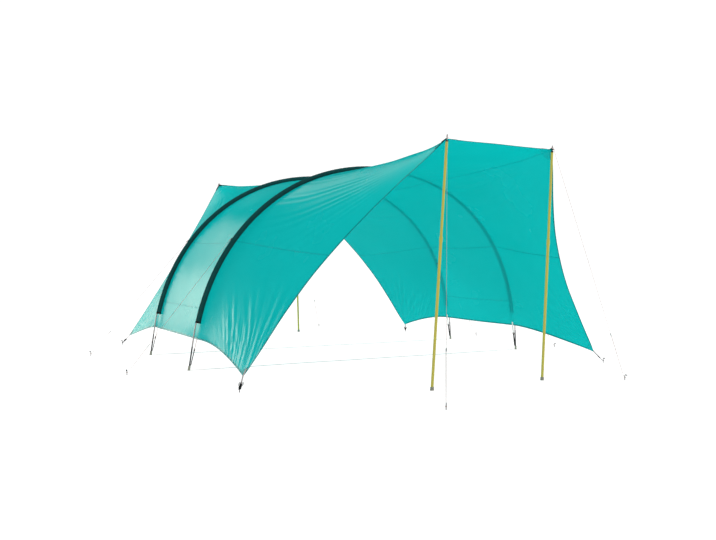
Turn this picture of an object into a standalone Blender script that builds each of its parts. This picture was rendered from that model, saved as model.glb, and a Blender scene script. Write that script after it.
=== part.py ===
"""Tarp tent: a short tunnel on two pole arches, with a porch wing pulled out at each end.

X runs along the tunnel towards the front porch, Y across it, Z up. The origin is on the
ground, midway between the outermost pegs. The left side is -Y. The left and right sides are
alike, and so are the two ends, apart from the pegs' places and from the arches, which both
lean a little towards the front.

The canopy is one sewn cloth. Between the arches it sags a little towards the inside.
Outside each arch it is stretched to two upright poles and to two corners near the ground.
Every cloth panel is a closed solid, a sheet with the thickness CLOTH.
"""
import math

import bmesh
import bpy
import numpy as np

# Uprights: where each stands, and where its spike meets the canopy
POLE_HEIGHT = 2.40
POLE_TOP = (3.041, 0.671)
POLE_FOOT = (2.905, 0.709)
POLE_RADIUS = 0.014
POLE_UPPER_RADIUS = 0.0125
POLE_JOINT_HEIGHT = 1.45
SPIKE_RADIUS = 0.004
SPIKE_RISE = 0.042
TOP_EYE_RISE = 0.022

# Arches: a superellipse standing on straight legs. Each crest is further to the front than
# its feet, by the lean for each metre of height.
ARCH_X = 0.755
ARCH_SHIFT = -0.123
ARCH_LEAN = 0.062
ARCH_HALF_WIDTH = 2.341
ARCH_RISE = 2.376
ARCH_POWER = 2.11
LEG_HEIGHT = 0.35
ARCH_POLE_RADIUS = 0.008

# Cloth: seams are placed by their distance along the arch, from its foot
CLOTH = 0.003
SLEEVE_START = 0.53
WALL_SEAM = 1.55
ROOF_SEAM = 3.00
ROOF_SAG = 0.05
HEM_SAG = 0.013
SLEEVE_HALF_WIDTH = 0.027
SLEEVE_DEPTH = 0.038
STRIP = 0.028

# Wings: the corners near the ground, and how far the edges are cut away from straight
CORNER = (2.102, 2.321, 0.135)
CORNER_PEG = (2.194, 2.394)
SIDE_EDGE_CUT = (-0.266, -0.040, 0.0)
SIDE_EDGE_POWER = 1.43
SIDE_HEM_CUT = (-0.117, -0.046, 0.055)
FRONT_EDGE_SAG = 0.003
EDGE_SEAM_SHARE = 0.51
CROSS_PULL = 0.12

# Lines, pegs and webbing
GUY_PEGS = {
    "front_left": (3.75, -1.17),
    "front_right": (3.30, 1.51),
    "rear_left": (-3.75, -1.17),
    "rear_right": (-3.55, 1.43),
}
SIDE_PEGS = {"front": (0.68, 3.05), "rear": (-1.10, 3.05)}
SIDE_LINE_HEIGHT = 1.45
LINE_RADIUS = 0.0025
PEG_RADIUS = 0.004
PEG_HEIGHT = 0.060
PEG_EYE_HEIGHT = 0.030
HOOK_WAY = (0.8, 0.6)
WEBBING_WIDTH = 0.025
WEBBING = 0.002

# Gap between pieces that touch
GAP = 0.0003

# Mesh steps
LOWER_WALL_STEPS = 5
UPPER_WALL_STEPS = 7
ROOF_STEPS = 6
WING_STEPS = 8
BAY_STEPS = 6
PEG_SIDES = 8
CURVE_SAMPLES = 4001
LEG_SAMPLES = 200

ENDS = {"front": 1, "rear": -1}
SIDES = {"left": -1, "right": 1}

TEAL = (0.004, 0.440, 0.415)
DARK_TEAL = (0.004, 0.070, 0.065)
GOLD = (0.480, 0.420, 0.120)
GREY = (0.300, 0.310, 0.290)
BLACK = (0.015, 0.016, 0.017)
PALE = (0.600, 0.470, 0.450)
RED_BROWN = (0.400, 0.240, 0.190)


def clear_scene():
    """Remove every object, so that the script can be run again."""
    for thing in list(bpy.data.objects):
        bpy.data.objects.remove(thing, do_unlink=True)


def finish(name, colour, roughness, metallic=0.0):
    """A Principled material with one colour."""
    made = bpy.data.materials.new(name)
    made.use_nodes = True
    shader = made.node_tree.nodes["Principled BSDF"]
    shader.inputs["Base Color"].default_value = (*colour, 1.0)
    shader.inputs["Roughness"].default_value = roughness
    shader.inputs["Metallic"].default_value = metallic
    made.diffuse_color = (*colour, 1.0)
    return made


def solid(name, points, faces, material):
    """One mesh object from points and faces, turned to face outwards."""
    mesh = bpy.data.meshes.new(name)
    mesh.from_pydata([tuple(map(float, point)) for point in points], [], faces)
    shape = bmesh.new()
    shape.from_mesh(mesh)
    if shape.calc_volume(signed=True) < 0.0:
        bmesh.ops.reverse_faces(shape, faces=shape.faces)
    shape.to_mesh(mesh)
    shape.free()
    mesh.materials.append(material)
    mesh.shade_smooth()
    mesh.set_sharp_from_angle(angle=math.radians(35.0))
    placed = bpy.data.objects.new(name, mesh)
    bpy.context.collection.objects.link(placed)
    return placed


def join(body, *others):
    """Unite the body with its other shapes, which become hidden cutters."""
    for other in others:
        other.hide_render = True
        other.display_type = "WIRE"
        modifier = body.modifiers.new(other.name, "BOOLEAN")
        modifier.operation = "UNION"
        modifier.solver = "EXACT"
        modifier.object = other
    return body


def bore(body, cutter):
    """Cut a hidden cutter out of the body."""
    join(body, cutter)
    body.modifiers[-1].operation = "DIFFERENCE"
    return body


def ring_faces(rings, sides):
    """Quads between each ring of points and the next."""
    faces = []
    for ring in range(rings - 1):
        for side in range(sides):
            here = ring * sides + side
            beside = ring * sides + (side + 1) % sides
            faces.append((here, beside, beside + sides, here + sides))
    return faces


def turned(name, foot, top, profile, material, sides=12):
    """A round body on the line from foot to top, with level rings.

    The profile lists radius and height. Its first and last rings are closed, so that a
    profile which comes back down inside itself leaves a bore.
    """
    foot = np.array(foot, float)
    slope = (np.array(top, float) - foot) / (top[2] - foot[2])
    angle = 2.0 * math.pi * np.arange(sides) / sides
    circle = np.stack([np.cos(angle), np.sin(angle), np.zeros(sides)], axis=-1)
    rings = [foot + slope * (height - foot[2]) + radius * circle for radius, height in profile]
    faces = ring_faces(len(rings), sides)
    faces.append(tuple(reversed(range(sides))))
    last = (len(rings) - 1) * sides
    faces.append(tuple(range(last, last + sides)))
    return solid(name, np.concatenate(rings), faces, material)


def rod(name, path, radius, material, sides=8):
    """A round bar along a path that is nowhere upright, with rings square to the path."""
    path = np.array(path, float)
    step = np.gradient(path, axis=0)
    along = step / np.linalg.norm(step, axis=1, keepdims=True)
    across = np.cross(along, (0.0, 0.0, 1.0))
    across /= np.linalg.norm(across, axis=1, keepdims=True)
    lift = np.cross(along, across)
    angle = 2.0 * math.pi * np.arange(sides) / sides
    offsets = across[:, None] * np.cos(angle)[:, None] + lift[:, None] * np.sin(angle)[:, None]
    points = (path[:, None] + radius * offsets).reshape(-1, 3)
    faces = ring_faces(len(path), sides)
    faces.append(tuple(reversed(range(sides))))
    faces.append(tuple(range((len(path) - 1) * sides, len(path) * sides)))
    return solid(name, points, faces, material)


def ribbon(name, path, normal, width, thickness, material):
    """A flat strap along a path; normal points away from its face."""
    path = np.array(path, float)
    step = np.gradient(path, axis=0)
    side = np.cross(step, normal)
    side *= width / 2.0 / np.linalg.norm(side, axis=1, keepdims=True)
    up = np.cross(side, step)
    up *= thickness / 2.0 / np.linalg.norm(up, axis=1, keepdims=True)
    points = np.stack([path + side + up, path - side + up, path - side - up, path + side - up], 1)
    faces = ring_faces(len(path), 4)
    faces.append((3, 2, 1, 0))
    last = 4 * (len(path) - 1)
    faces.append((last, last + 1, last + 2, last + 3))
    return solid(name, points.reshape(-1, 3), faces, material)


def eye(name, centre, inner, outer, thickness, material, sides=12):
    """A level ring round a spike or peg."""
    low, high = centre[2] - thickness / 2.0, centre[2] + thickness / 2.0
    angle = 2.0 * math.pi * np.arange(sides) / sides
    circle = np.stack([np.cos(angle), np.sin(angle)], axis=-1)
    rings = []
    for radius, height in ((inner, low), (outer, low), (outer, high), (inner, high)):
        flat = np.array(centre[:2]) + radius * circle
        rings.append(np.column_stack([flat, np.full(sides, height)]))
    faces = ring_faces(4, sides)
    for side in range(sides):
        beside = (side + 1) % sides
        faces.append((3 * sides + side, 3 * sides + beside, beside, side))
    return solid(name, np.concatenate(rings), faces, material)


class Arch:
    """The pole line of an arch in the YZ plane, read by distance from its left foot."""

    def __init__(self):
        start = math.asin((LEG_HEIGHT / ARCH_RISE) ** (ARCH_POWER / 2.0))
        turn = np.linspace(start, math.pi - start, CURVE_SAMPLES)
        cosine = np.cos(turn)
        y = -ARCH_HALF_WIDTH * np.sign(cosine) * np.abs(cosine) ** (2.0 / ARCH_POWER)
        z = ARCH_RISE * np.sin(turn) ** (2.0 / ARCH_POWER)
        self.foot_y = abs(y[0] - z[0] * (y[1] - y[0]) / (z[1] - z[0]))
        leg = np.linspace(0.0, 1.0, LEG_SAMPLES + 1)[:-1]
        leg_y = -self.foot_y + leg * (y[0] + self.foot_y)
        leg_z = leg * z[0]
        self.y = np.concatenate([leg_y, y, -leg_y[::-1]])
        self.z = np.concatenate([leg_z, z, leg_z[::-1]])
        steps = np.hypot(np.diff(self.y), np.diff(self.z))
        self.distance = np.concatenate([[0.0], np.cumsum(steps)])
        self.length = self.distance[-1]
        self.hem = self.distance[LEG_SAMPLES]

    def at(self, distance, offset=0.0):
        """Points Y, Z at these distances, moved outwards by offset."""
        y_slope = np.gradient(self.y, self.distance)
        z_slope = np.gradient(self.z, self.distance)
        tangent = np.stack([np.interp(distance, self.distance, y_slope),
                            np.interp(distance, self.distance, z_slope)], axis=-1)
        tangent /= np.linalg.norm(tangent, axis=-1, keepdims=True)
        outward = np.stack([-tangent[..., 1], tangent[..., 0]], axis=-1)
        line = np.stack([np.interp(distance, self.distance, self.y),
                         np.interp(distance, self.distance, self.z)], axis=-1)
        return line + np.asarray(offset)[..., None] * outward

    def distance_at_height(self, height):
        """Distance from the left foot to the point of the left side at this height."""
        half = len(self.z) // 2
        return float(np.interp(height, self.z[:half], self.distance[:half]))

    def set_up(self, x, distance, offset=0.0):
        """Points X, Y, Z of the standing arch whose foot is at x, with its lean."""
        across = self.at(distance, offset)
        along = x + ARCH_SHIFT + ARCH_LEAN * across[..., 1]
        return np.concatenate([along[..., None], across], axis=-1)

    def stations(self):
        """Distances of the cloth's rows: hem, seams and even steps between them."""
        lower = np.linspace(SLEEVE_START, WALL_SEAM, LOWER_WALL_STEPS + 1)
        upper = np.linspace(WALL_SEAM, ROOF_SEAM, UPPER_WALL_STEPS + 1)[1:]
        roof = np.linspace(ROOF_SEAM, self.length - ROOF_SEAM, ROOF_STEPS + 1)[1:-1]
        side = np.concatenate([[self.hem], lower, upper])
        return np.concatenate([side, roof, self.length - side[::-1]])


ARCH = Arch()
ROWS = ARCH.stations()
WALL_SEAM_ROW = LOWER_WALL_STEPS + 1
ROOF_SEAM_ROW = WALL_SEAM_ROW + UPPER_WALL_STEPS
LAST_ROW = len(ROWS) - 1
CLOTH_DROP = SLEEVE_DEPTH + GAP
PANEL_ROWS = {
    "left_wall": (0, ROOF_SEAM_ROW),
    "roof_panel": (ROOF_SEAM_ROW, LAST_ROW - ROOF_SEAM_ROW),
    "right_wall": (LAST_ROW - ROOF_SEAM_ROW, LAST_ROW),
}


def pole_axis(end, side, height):
    """Point on an upright's centre line at this height."""
    share = height / POLE_HEIGHT
    x = POLE_FOOT[0] + share * (POLE_TOP[0] - POLE_FOOT[0])
    y = POLE_FOOT[1] + share * (POLE_TOP[1] - POLE_FOOT[1])
    return np.array([end * x, side * y, height])


def bay_surface():
    """Outer cloth surface between the arches: arch rows by columns along X.

    Each row is an arch point set in by the sleeve's depth and by a parabola of sag.
    """
    inner = np.linspace(-1.0, 1.0, BAY_STEPS + 1) * (ARCH_X - STRIP)
    x = np.concatenate([[-ARCH_X], inner, [ARCH_X]])
    share = (ROWS - ARCH.hem) / (ARCH.length - 2.0 * ARCH.hem)
    sag = HEM_SAG + (ROOF_SAG - HEM_SAG) * np.sin(math.pi * share.clip(0.0, 1.0)).clip(0.0) ** 0.6
    hollow = np.clip(1.0 - (x / (ARCH_X - STRIP)) ** 2, 0.0, None)
    offset = -CLOTH_DROP - sag[:, None] * hollow[None, :]
    return ARCH.set_up(x[None, :], np.broadcast_to(ROWS[:, None], offset.shape), offset)


def wing_border():
    """Outer border of the front wing: left corner, pole tops, right corner."""
    corner = np.array([CORNER[0], -CORNER[1], CORNER[2]])
    peak = np.array([POLE_TOP[0] - 0.010, -POLE_TOP[1], POLE_HEIGHT])
    mirror = np.array([1.0, -1.0, 1.0])
    rows = ROWS[:ROOF_SEAM_ROW + 1]
    seam = ROWS[WALL_SEAM_ROW]
    low = EDGE_SEAM_SHARE * (rows - rows[0]) / (seam - rows[0])
    high = EDGE_SEAM_SHARE + (1.0 - EDGE_SEAM_SHARE) * (rows - seam) / (rows[-1] - seam)
    share = np.where(rows <= seam, low, high)[:, None]
    bend = (4.0 * share * (1.0 - share)) ** SIDE_EDGE_POWER
    side = corner * (1.0 - share) + peak * share + bend * np.array(SIDE_EDGE_CUT)
    span = np.linspace(0.0, 1.0, ROOF_STEPS + 1)[1:-1, None]
    sag = np.array([0.0, 0.0, -FRONT_EDGE_SAG])
    front = peak * (1.0 - span) + peak * mirror * span + 4.0 * span * (1.0 - span) * sag
    return np.concatenate([side, front, side[::-1] * mirror])


def wing_surface(end):
    """Outer cloth surface of an end's wing: arch rows by columns outwards.

    The border is fixed: sleeve edge, side hems, edges and front. Each point inside is the
    mean of its four neighbours, with those along the arch weighted by CROSS_PULL, as in a
    net of pulled threads. The rear wing is worked out facing front, then turned round.
    """
    turn = np.array([end, 1.0, 1.0])
    first = ARCH.set_up(end * ARCH_X, ROWS, np.full(len(ROWS), -CLOTH_DROP)) * turn
    second = first + np.array([STRIP, 0.0, 0.0])
    border = wing_border()
    net = np.zeros((len(ROWS), WING_STEPS + 1, 3))
    net[:, 0] = second
    net[:, -1] = border
    share = np.linspace(0.0, 1.0, WING_STEPS + 1)[:, None]
    bend = 4.0 * share * (1.0 - share)
    for row, side in ((0, -1.0), (LAST_ROW, 1.0)):
        cut = np.array([SIDE_HEM_CUT[0], side * SIDE_HEM_CUT[1], SIDE_HEM_CUT[2]])
        net[row] = second[row] * (1.0 - share) + border[row] * share + bend * cut
    rows, columns = len(ROWS) - 2, WING_STEPS - 1
    count = rows * columns
    number = np.arange(count).reshape(rows, columns)
    matrix = np.zeros((count, count))
    known = np.zeros((rows, columns, 3))
    diagonal = np.arange(count)
    matrix[diagonal, diagonal] = 2.0 + 2.0 * CROSS_PULL
    matrix[number[1:].ravel(), number[:-1].ravel()] = -CROSS_PULL
    matrix[number[:-1].ravel(), number[1:].ravel()] = -CROSS_PULL
    matrix[number[:, 1:].ravel(), number[:, :-1].ravel()] = -1.0
    matrix[number[:, :-1].ravel(), number[:, 1:].ravel()] = -1.0
    known[0] += CROSS_PULL * net[0, 1:-1]
    known[-1] += CROSS_PULL * net[-1, 1:-1]
    known[:, 0] += net[1:-1, 0]
    known[:, -1] += net[1:-1, -1]
    net[1:-1, 1:-1] = np.linalg.solve(matrix, known.reshape(count, 3)).reshape(rows, columns, 3)
    return np.concatenate([first[:, None], net], axis=1) * turn


def surface_normals(surface):
    """Unit normals of a grid of points, upwards at the crest."""
    along = np.gradient(surface, axis=0)
    across = np.gradient(surface, axis=1)
    normal = np.cross(across, along)
    normal /= np.linalg.norm(normal, axis=-1, keepdims=True)
    if normal[len(surface) // 2, 0, 2] < 0.0:
        normal = -normal
    return normal


def pulled_in(grid, amount):
    """The grid with its four borders moved towards its inside, to leave seam gaps."""
    moved = grid.copy()
    for border, inside in ((0, 1), (-1, -2)):
        step = grid[inside] - grid[border]
        moved[border] += amount * step / np.linalg.norm(step, axis=-1, keepdims=True)
    for border, inside in ((0, 1), (-1, -2)):
        step = grid[:, inside] - grid[:, border]
        moved[:, border] += amount * step / np.linalg.norm(step, axis=-1, keepdims=True)
    return moved


def cloth_panel(name, surface, normals, material):
    """A closed sheet: the surface, the same surface CLOTH further in, and the rim."""
    outer = pulled_in(surface, GAP * 0.7)
    inner = outer - CLOTH * normals
    rows, columns = surface.shape[:2]
    count = rows * columns
    points = np.concatenate([outer.reshape(-1, 3), inner.reshape(-1, 3)])
    faces = []
    for row in range(rows - 1):
        for column in range(columns - 1):
            a = row * columns + column
            b, c, d = a + 1, a + columns + 1, a + columns
            if row < (rows - 1) / 2:
                pair = ((a, b, c), (a, c, d))
            else:
                pair = ((a, b, d), (b, c, d))
            for triangle in pair:
                faces.append(triangle)
                faces.append(tuple(count + corner for corner in reversed(triangle)))
    rim = [column for column in range(columns)]
    rim += [row * columns + columns - 1 for row in range(1, rows)]
    rim += [(rows - 1) * columns + column for column in range(columns - 2, -1, -1)]
    rim += [row * columns for row in range(rows - 2, 0, -1)]
    for here, there in zip(rim, rim[1:] + rim[:1]):
        faces.append((there, here, here + count))
        faces.append((there, here + count, there + count))
    return solid(name, points, faces, material)


def make_canopy(surfaces):
    """Nine cloth panels: roof and two walls for the bay and for each wing."""
    cloth = finish("canopy_cloth", TEAL, 0.45)
    for bay_name, surface in surfaces.items():
        normals = surface_normals(surface)
        for panel_name, (first, last) in PANEL_ROWS.items():
            rows = slice(first, last + 1)
            cloth_panel(f"{bay_name}_{panel_name}", surface[rows], normals[rows], cloth)


def arch_rings(distances, profile, x):
    """Rings of profile points (along X, outwards) carried along the arch."""
    rings = []
    for along, outwards in profile:
        rings.append(ARCH.set_up(x + along, distances, np.full(len(distances), outwards)))
    return np.stack(rings, axis=1)


def dome(half_width, low, high, count=7):
    """Profile of a low dome: a flat base and a top that falls off as a power curve."""
    along = half_width * np.linspace(-1.0, 1.0, count)
    rise = low + (high - low) * (1.0 - np.abs(along / half_width) ** 2.5)
    return list(zip(along, rise))


def make_arch(end_name, end):
    """An arch pole, the sleeve that holds it, and the strap between its feet."""
    x = end * ARCH_X
    pole_finish = finish(f"{end_name}_arch_pole_metal", GREY, 0.35, 0.8)
    sleeve_finish = finish(f"{end_name}_sleeve_cloth", DARK_TEAL, 0.7)
    distances = np.concatenate([[0.0065], ROWS, [ARCH.length - 0.0065]])
    sides = 8
    angle = 2.0 * math.pi * np.arange(sides) / sides
    circle = [(ARCH_POLE_RADIUS * math.cos(a), ARCH_POLE_RADIUS * math.sin(a)) for a in angle]
    rings = arch_rings(distances, circle, x)
    faces = ring_faces(len(rings), sides)
    faces.append(tuple(reversed(range(sides))))
    faces.append(tuple(range((len(rings) - 1) * sides, len(rings) * sides)))
    solid(f"{end_name}_arch_pole", rings.reshape(-1, 3), faces, pole_finish)

    distances = ROWS[1:-1]
    base = -SLEEVE_DEPTH
    outer = arch_rings(distances, dome(SLEEVE_HALF_WIDTH, base, 0.0115), x)
    inner = arch_rings(distances, dome(SLEEVE_HALF_WIDTH - 0.0025, base + 0.0015, 0.0083), x)
    count, sides = outer.shape[:2]
    faces = ring_faces(count, sides)
    hidden = [tuple(count * sides + corner for corner in reversed(face)) for face in faces]
    faces += hidden
    for ring, turn in ((0, 1), (count - 1, -1)):
        for side in range(sides):
            here = ring * sides + side
            beside = ring * sides + (side + 1) % sides
            quad = (here, here + count * sides, beside + count * sides, beside)
            faces.append(quad[::turn])
    points = np.concatenate([outer.reshape(-1, 3), inner.reshape(-1, 3)])
    solid(f"{end_name}_arch_sleeve", points, faces, sleeve_finish)
    make_base_strap(end_name, x)


def make_base_strap(end_name, x):
    """Ground webbing from foot to foot, its cups, and the webbing up to each hem."""
    webbing = finish(f"{end_name}_webbing", PALE, 0.8)
    height = WEBBING / 2.0 + 0.0006
    reach = ARCH.foot_y - 0.010
    foot_x = x + ARCH_SHIFT
    path = [(foot_x, -reach, height), (foot_x, reach, height)]
    strap = ribbon(f"{end_name}_base_strap", path, (0.0, 0.0, 1.0), WEBBING_WIDTH, WEBBING, webbing)
    for side_name, side in SIDES.items():
        foot, top = ARCH.set_up(x, np.array([0.0, ARCH.hem])) * np.array([1.0, -side, 1.0])
        profile = [(0.016, 0.0), (0.016, 0.050), (0.0086, 0.050), (0.0086, 0.005)]
        cup = turned(f"{end_name}_{side_name}_cup", foot, top, profile, webbing, sides=8)
        reach = np.array([0.020, ARCH.hem - 2.0 * GAP])
        inwards = np.array([-0.0115, -CLOTH_DROP - WEBBING / 2.0])
        rise = ARCH.set_up(x, reach, inwards)
        points = rise * np.array([1.0, -side, 1.0])
        face = (0.0, float(side), 0.0)
        riser = ribbon(f"{end_name}_{side_name}_riser", points, face, WEBBING_WIDTH, WEBBING, webbing)
        join(strap, cup, riser)


def make_pole(name, end, side):
    """A two-piece upright: rubber foot, lower tube, collar, upper tube, shoulder, spike."""
    paint = finish(f"{name}_paint", GOLD, 0.35, 0.3)
    joint = POLE_JOINT_HEIGHT
    profile = [
        (0.020, 0.0), (0.020, 0.030), (POLE_RADIUS, 0.038),
        (POLE_RADIUS, joint), (POLE_RADIUS + 0.003, joint + 0.004),
        (POLE_RADIUS + 0.003, joint + 0.040), (POLE_UPPER_RADIUS, joint + 0.044),
        (POLE_UPPER_RADIUS, POLE_HEIGHT - 0.018), (SPIKE_RADIUS + 0.001, POLE_HEIGHT - 0.014),
        (SPIKE_RADIUS, POLE_HEIGHT - 0.013), (SPIKE_RADIUS, POLE_HEIGHT + SPIKE_RISE - 0.004),
        (SPIKE_RADIUS * 0.5, POLE_HEIGHT + SPIKE_RISE),
    ]
    foot, top = pole_axis(end, side, 0.0), pole_axis(end, side, POLE_HEIGHT)
    turned(name, foot, top, profile, paint)


def make_peak_tab(name, end, side, surface):
    """The webbing patch on the roof seam's end, with its hole over the pole's spike."""
    webbing = finish(f"{name}_webbing", BLACK, 0.75)
    normals = surface_normals(surface)
    row = ROOF_SEAM_ROW if side < 0 else LAST_ROW - ROOF_SEAM_ROW
    peak, inside = surface[row, -1], surface[row, -2]
    along = (inside - peak) / np.linalg.norm(inside - peak)
    normal = normals[row, -1] - (normals[row, -1] @ along) * along
    normal /= np.linalg.norm(normal)
    lift = normal * (GAP * 2.0 + WEBBING / 2.0)
    path = [peak - 0.018 * along + lift, peak + 0.055 * along + lift]
    tab = ribbon(name, path, normal, 0.036, WEBBING, webbing)
    spike_low = pole_axis(end, side, POLE_HEIGHT - 0.03)
    spike_high = pole_axis(end, side, POLE_HEIGHT + 0.03)
    reach = [(SPIKE_RADIUS + 0.0006, spike_low[2]), (SPIKE_RADIUS + 0.0006, spike_high[2])]
    bore(tab, turned(f"{name}_hole", spike_low, spike_high, reach, webbing))


def make_corner(name, end, side, surface):
    """The webbing loop from a wing's low corner to its peg, and the peg."""
    webbing = finish(f"{name}_strap_webbing", BLACK, 0.75)
    normals = surface_normals(surface)
    row, inside = (0, 1) if side < 0 else (-1, -2)
    corner, normal = surface[row, -1], normals[row, -1]
    hem_way = surface[row, -2] - corner
    edge_way = surface[inside, -1] - corner
    into = hem_way / np.linalg.norm(hem_way) + edge_way / np.linalg.norm(edge_way)
    into /= np.linalg.norm(into)
    lift = normal * (GAP * 3.0 + WEBBING / 2.0)
    peg = np.array([end * CORNER_PEG[0], side * CORNER_PEG[1], PEG_EYE_HEIGHT])
    toward = (corner - peg) * np.array([1.0, 1.0, 0.0])
    landing = peg + 0.0085 * toward / np.linalg.norm(toward)
    path = [corner + 0.05 * into + lift, corner - 0.004 * into + lift, landing]
    strap = ribbon(f"{name}_strap", path, normal, 0.020, WEBBING, webbing)
    join(strap, eye(f"{name}_eye", peg, PEG_RADIUS + 0.0006, 0.012, 0.005, webbing))
    make_peg(f"{name}_peg", peg, end, side)


def make_peg(name, place, end, side):
    """A bent wire peg: the length above the ground, its hook turned away from the tent."""
    steel = finish(f"{name}_steel", GREY, 0.4, 0.9)
    base = np.array([place[0], place[1], 0.0])
    hook = np.array([end * HOOK_WAY[0], side * HOOK_WAY[1], 0.0])
    shape = ((0.0, 0.0), (0.0, PEG_HEIGHT - 0.010), (0.003, PEG_HEIGHT - 0.003),
             (0.010, PEG_HEIGHT), (0.018, PEG_HEIGHT - 0.004), (0.022, PEG_HEIGHT - 0.014))
    path = [base + out * hook + np.array([0.0, 0.0, up]) for out, up in shape]
    across = np.array([-hook[1], hook[0], 0.0])
    angle = 2.0 * math.pi * np.arange(PEG_SIDES) / PEG_SIDES
    tangents = np.gradient(np.array(path), axis=0)
    tangents[0] = (0.0, 0.0, 1.0)
    tangents /= np.linalg.norm(tangents, axis=1, keepdims=True)
    rings = []
    for point, tangent in zip(path, tangents):
        lift = np.cross(across, tangent)
        rings += [point + PEG_RADIUS * (math.cos(a) * across + math.sin(a) * lift) for a in angle]
    faces = ring_faces(len(path), PEG_SIDES)
    faces.append(tuple(reversed(range(PEG_SIDES))))
    faces.append(tuple(range(PEG_SIDES * (len(path) - 1), PEG_SIDES * len(path))))
    solid(name, rings, faces, steel)


def make_guyline(place, end, side):
    """A taut line from a pole's spike to its peg, with an eye at each end and a runner."""
    name = f"{place}_guyline"
    cord = finish(f"{name}_cord", RED_BROWN, 0.8)
    peg = np.array([*GUY_PEGS[place], PEG_EYE_HEIGHT])
    spike = pole_axis(end, side, POLE_HEIGHT + TOP_EYE_RISE)
    away = (peg - spike) * np.array([1.0, 1.0, 0.0])
    away /= np.linalg.norm(away)
    start = spike + 0.0165 * away
    stop = peg - 0.0085 * away
    line = rod(name, [start, stop], LINE_RADIUS, cord)
    runner_at = stop + 0.18 * (start - stop)
    runner_end = stop + 0.20 * (start - stop)
    runner = ribbon(f"{name}_runner", [runner_at, runner_end], away, 0.016, 0.009, cord)
    top_eye = eye(f"{name}_top_eye", spike, SPIKE_RADIUS + 0.0006, 0.0185, 0.006, cord)
    low_eye = eye(f"{name}_low_eye", peg, PEG_RADIUS + 0.0006, 0.012, 0.006, cord)
    join(line, top_eye, low_eye, runner)
    make_peg(f"{place}_guy_peg", peg, end, side)


def make_side_line(place, end_name, side):
    """A taut line from an arch sleeve out to a peg beside the tent."""
    name = f"{place}_side_line"
    end = ENDS[end_name]
    cord = finish(f"{name}_cord", RED_BROWN, 0.8)
    reach = ARCH.distance_at_height(SIDE_LINE_HEIGHT)
    ends = np.array([reach - 0.012, reach + 0.012])
    pad = ARCH.set_up(end * ARCH_X, ends, np.full(2, 0.0115 + GAP + 0.002))
    pad *= np.array([1.0, -side, 1.0])
    outward = ARCH.at(np.array([reach]), np.array([1.0]))[0] - ARCH.at(np.array([reach]))[0]
    normal = np.array([0.0, -side * outward[0], outward[1]])
    patch = ribbon(f"{name}_patch", pad, normal, 0.020, 0.004, cord)
    start = pad.mean(axis=0) + normal * 0.003
    peg_x, peg_y = SIDE_PEGS[end_name]
    peg = np.array([peg_x, side * peg_y, PEG_EYE_HEIGHT])
    away = (peg - start) * np.array([1.0, 1.0, 0.0])
    away /= np.linalg.norm(away)
    stop = peg - 0.0085 * away
    line = rod(name, [start, stop], LINE_RADIUS, cord)
    low_eye = eye(f"{name}_low_eye", peg, PEG_RADIUS + 0.0006, 0.012, 0.006, cord)
    runner_at = stop + 0.22 * (start - stop)
    runner_end = stop + 0.25 * (start - stop)
    runner = ribbon(f"{name}_runner", [runner_at, runner_end], normal, 0.016, 0.009, cord)
    join(line, patch, low_eye, runner)
    make_peg(f"{place}_side_peg", peg, end, side)


def main():
    """Build the whole tent."""
    clear_scene()
    surfaces = {"centre": bay_surface()}
    for end_name, end in ENDS.items():
        surfaces[end_name] = wing_surface(end)
    make_canopy(surfaces)
    for end_name, end in ENDS.items():
        make_arch(end_name, end)
        for side_name, side in SIDES.items():
            place = f"{end_name}_{side_name}"
            make_pole(f"{place}_pole", end, side)
            make_peak_tab(f"{place}_peak_tab", end, side, surfaces[end_name])
            make_corner(f"{place}_corner", end, side, surfaces[end_name])
            make_guyline(place, end, side)
            make_side_line(place, end_name, side)


main()
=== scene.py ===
"""Looks of the tarp tent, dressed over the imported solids.

X runs along the tunnel towards the front porch, Y across it, Z up, in metres. The left side
is -Y. The sizes in the first blocks repeat the ones that the solids were made from.

New pieces are grids of points worked out as whole arrays. skin() makes a mesh of such a grid,
and drawn() carries a section along a path first.
"""
import math

import bpy
import numpy as np
from mathutils import Matrix


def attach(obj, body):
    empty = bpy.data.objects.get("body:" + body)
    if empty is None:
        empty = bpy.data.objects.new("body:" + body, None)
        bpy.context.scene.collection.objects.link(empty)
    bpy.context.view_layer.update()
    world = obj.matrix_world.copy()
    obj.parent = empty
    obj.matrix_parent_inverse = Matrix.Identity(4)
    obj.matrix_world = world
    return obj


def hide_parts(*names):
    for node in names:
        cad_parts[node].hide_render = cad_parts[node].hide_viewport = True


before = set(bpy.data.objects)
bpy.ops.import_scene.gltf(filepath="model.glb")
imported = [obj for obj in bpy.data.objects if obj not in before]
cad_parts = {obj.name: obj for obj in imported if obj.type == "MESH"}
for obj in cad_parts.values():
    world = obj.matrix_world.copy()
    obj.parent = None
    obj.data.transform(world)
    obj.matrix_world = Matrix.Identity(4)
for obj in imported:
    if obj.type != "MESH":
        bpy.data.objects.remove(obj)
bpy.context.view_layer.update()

TURN = 2.0 * math.pi
FORWARD = np.array([1.0, 0.0, 0.0])
ACROSS = np.array([0.0, 1.0, 0.0])
UP = np.array([0.0, 0.0, 1.0])
LEVEL = FORWARD + ACROSS
ENDS = {"front": 1, "rear": -1}
SIDES = {"left": -1, "right": 1}

# Uprights
POLE_HEIGHT = 2.40
POLE_TOP = (3.041, 0.671)
POLE_FOOT = (2.905, 0.709)
POLE_RADIUS = 0.014
POLE_UPPER_RADIUS = 0.0125
POLE_JOINT_HEIGHT = 1.45
SPIKE_RADIUS = 0.004
SPIKE_RISE = 0.042
TOP_EYE_RISE = 0.022

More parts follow.
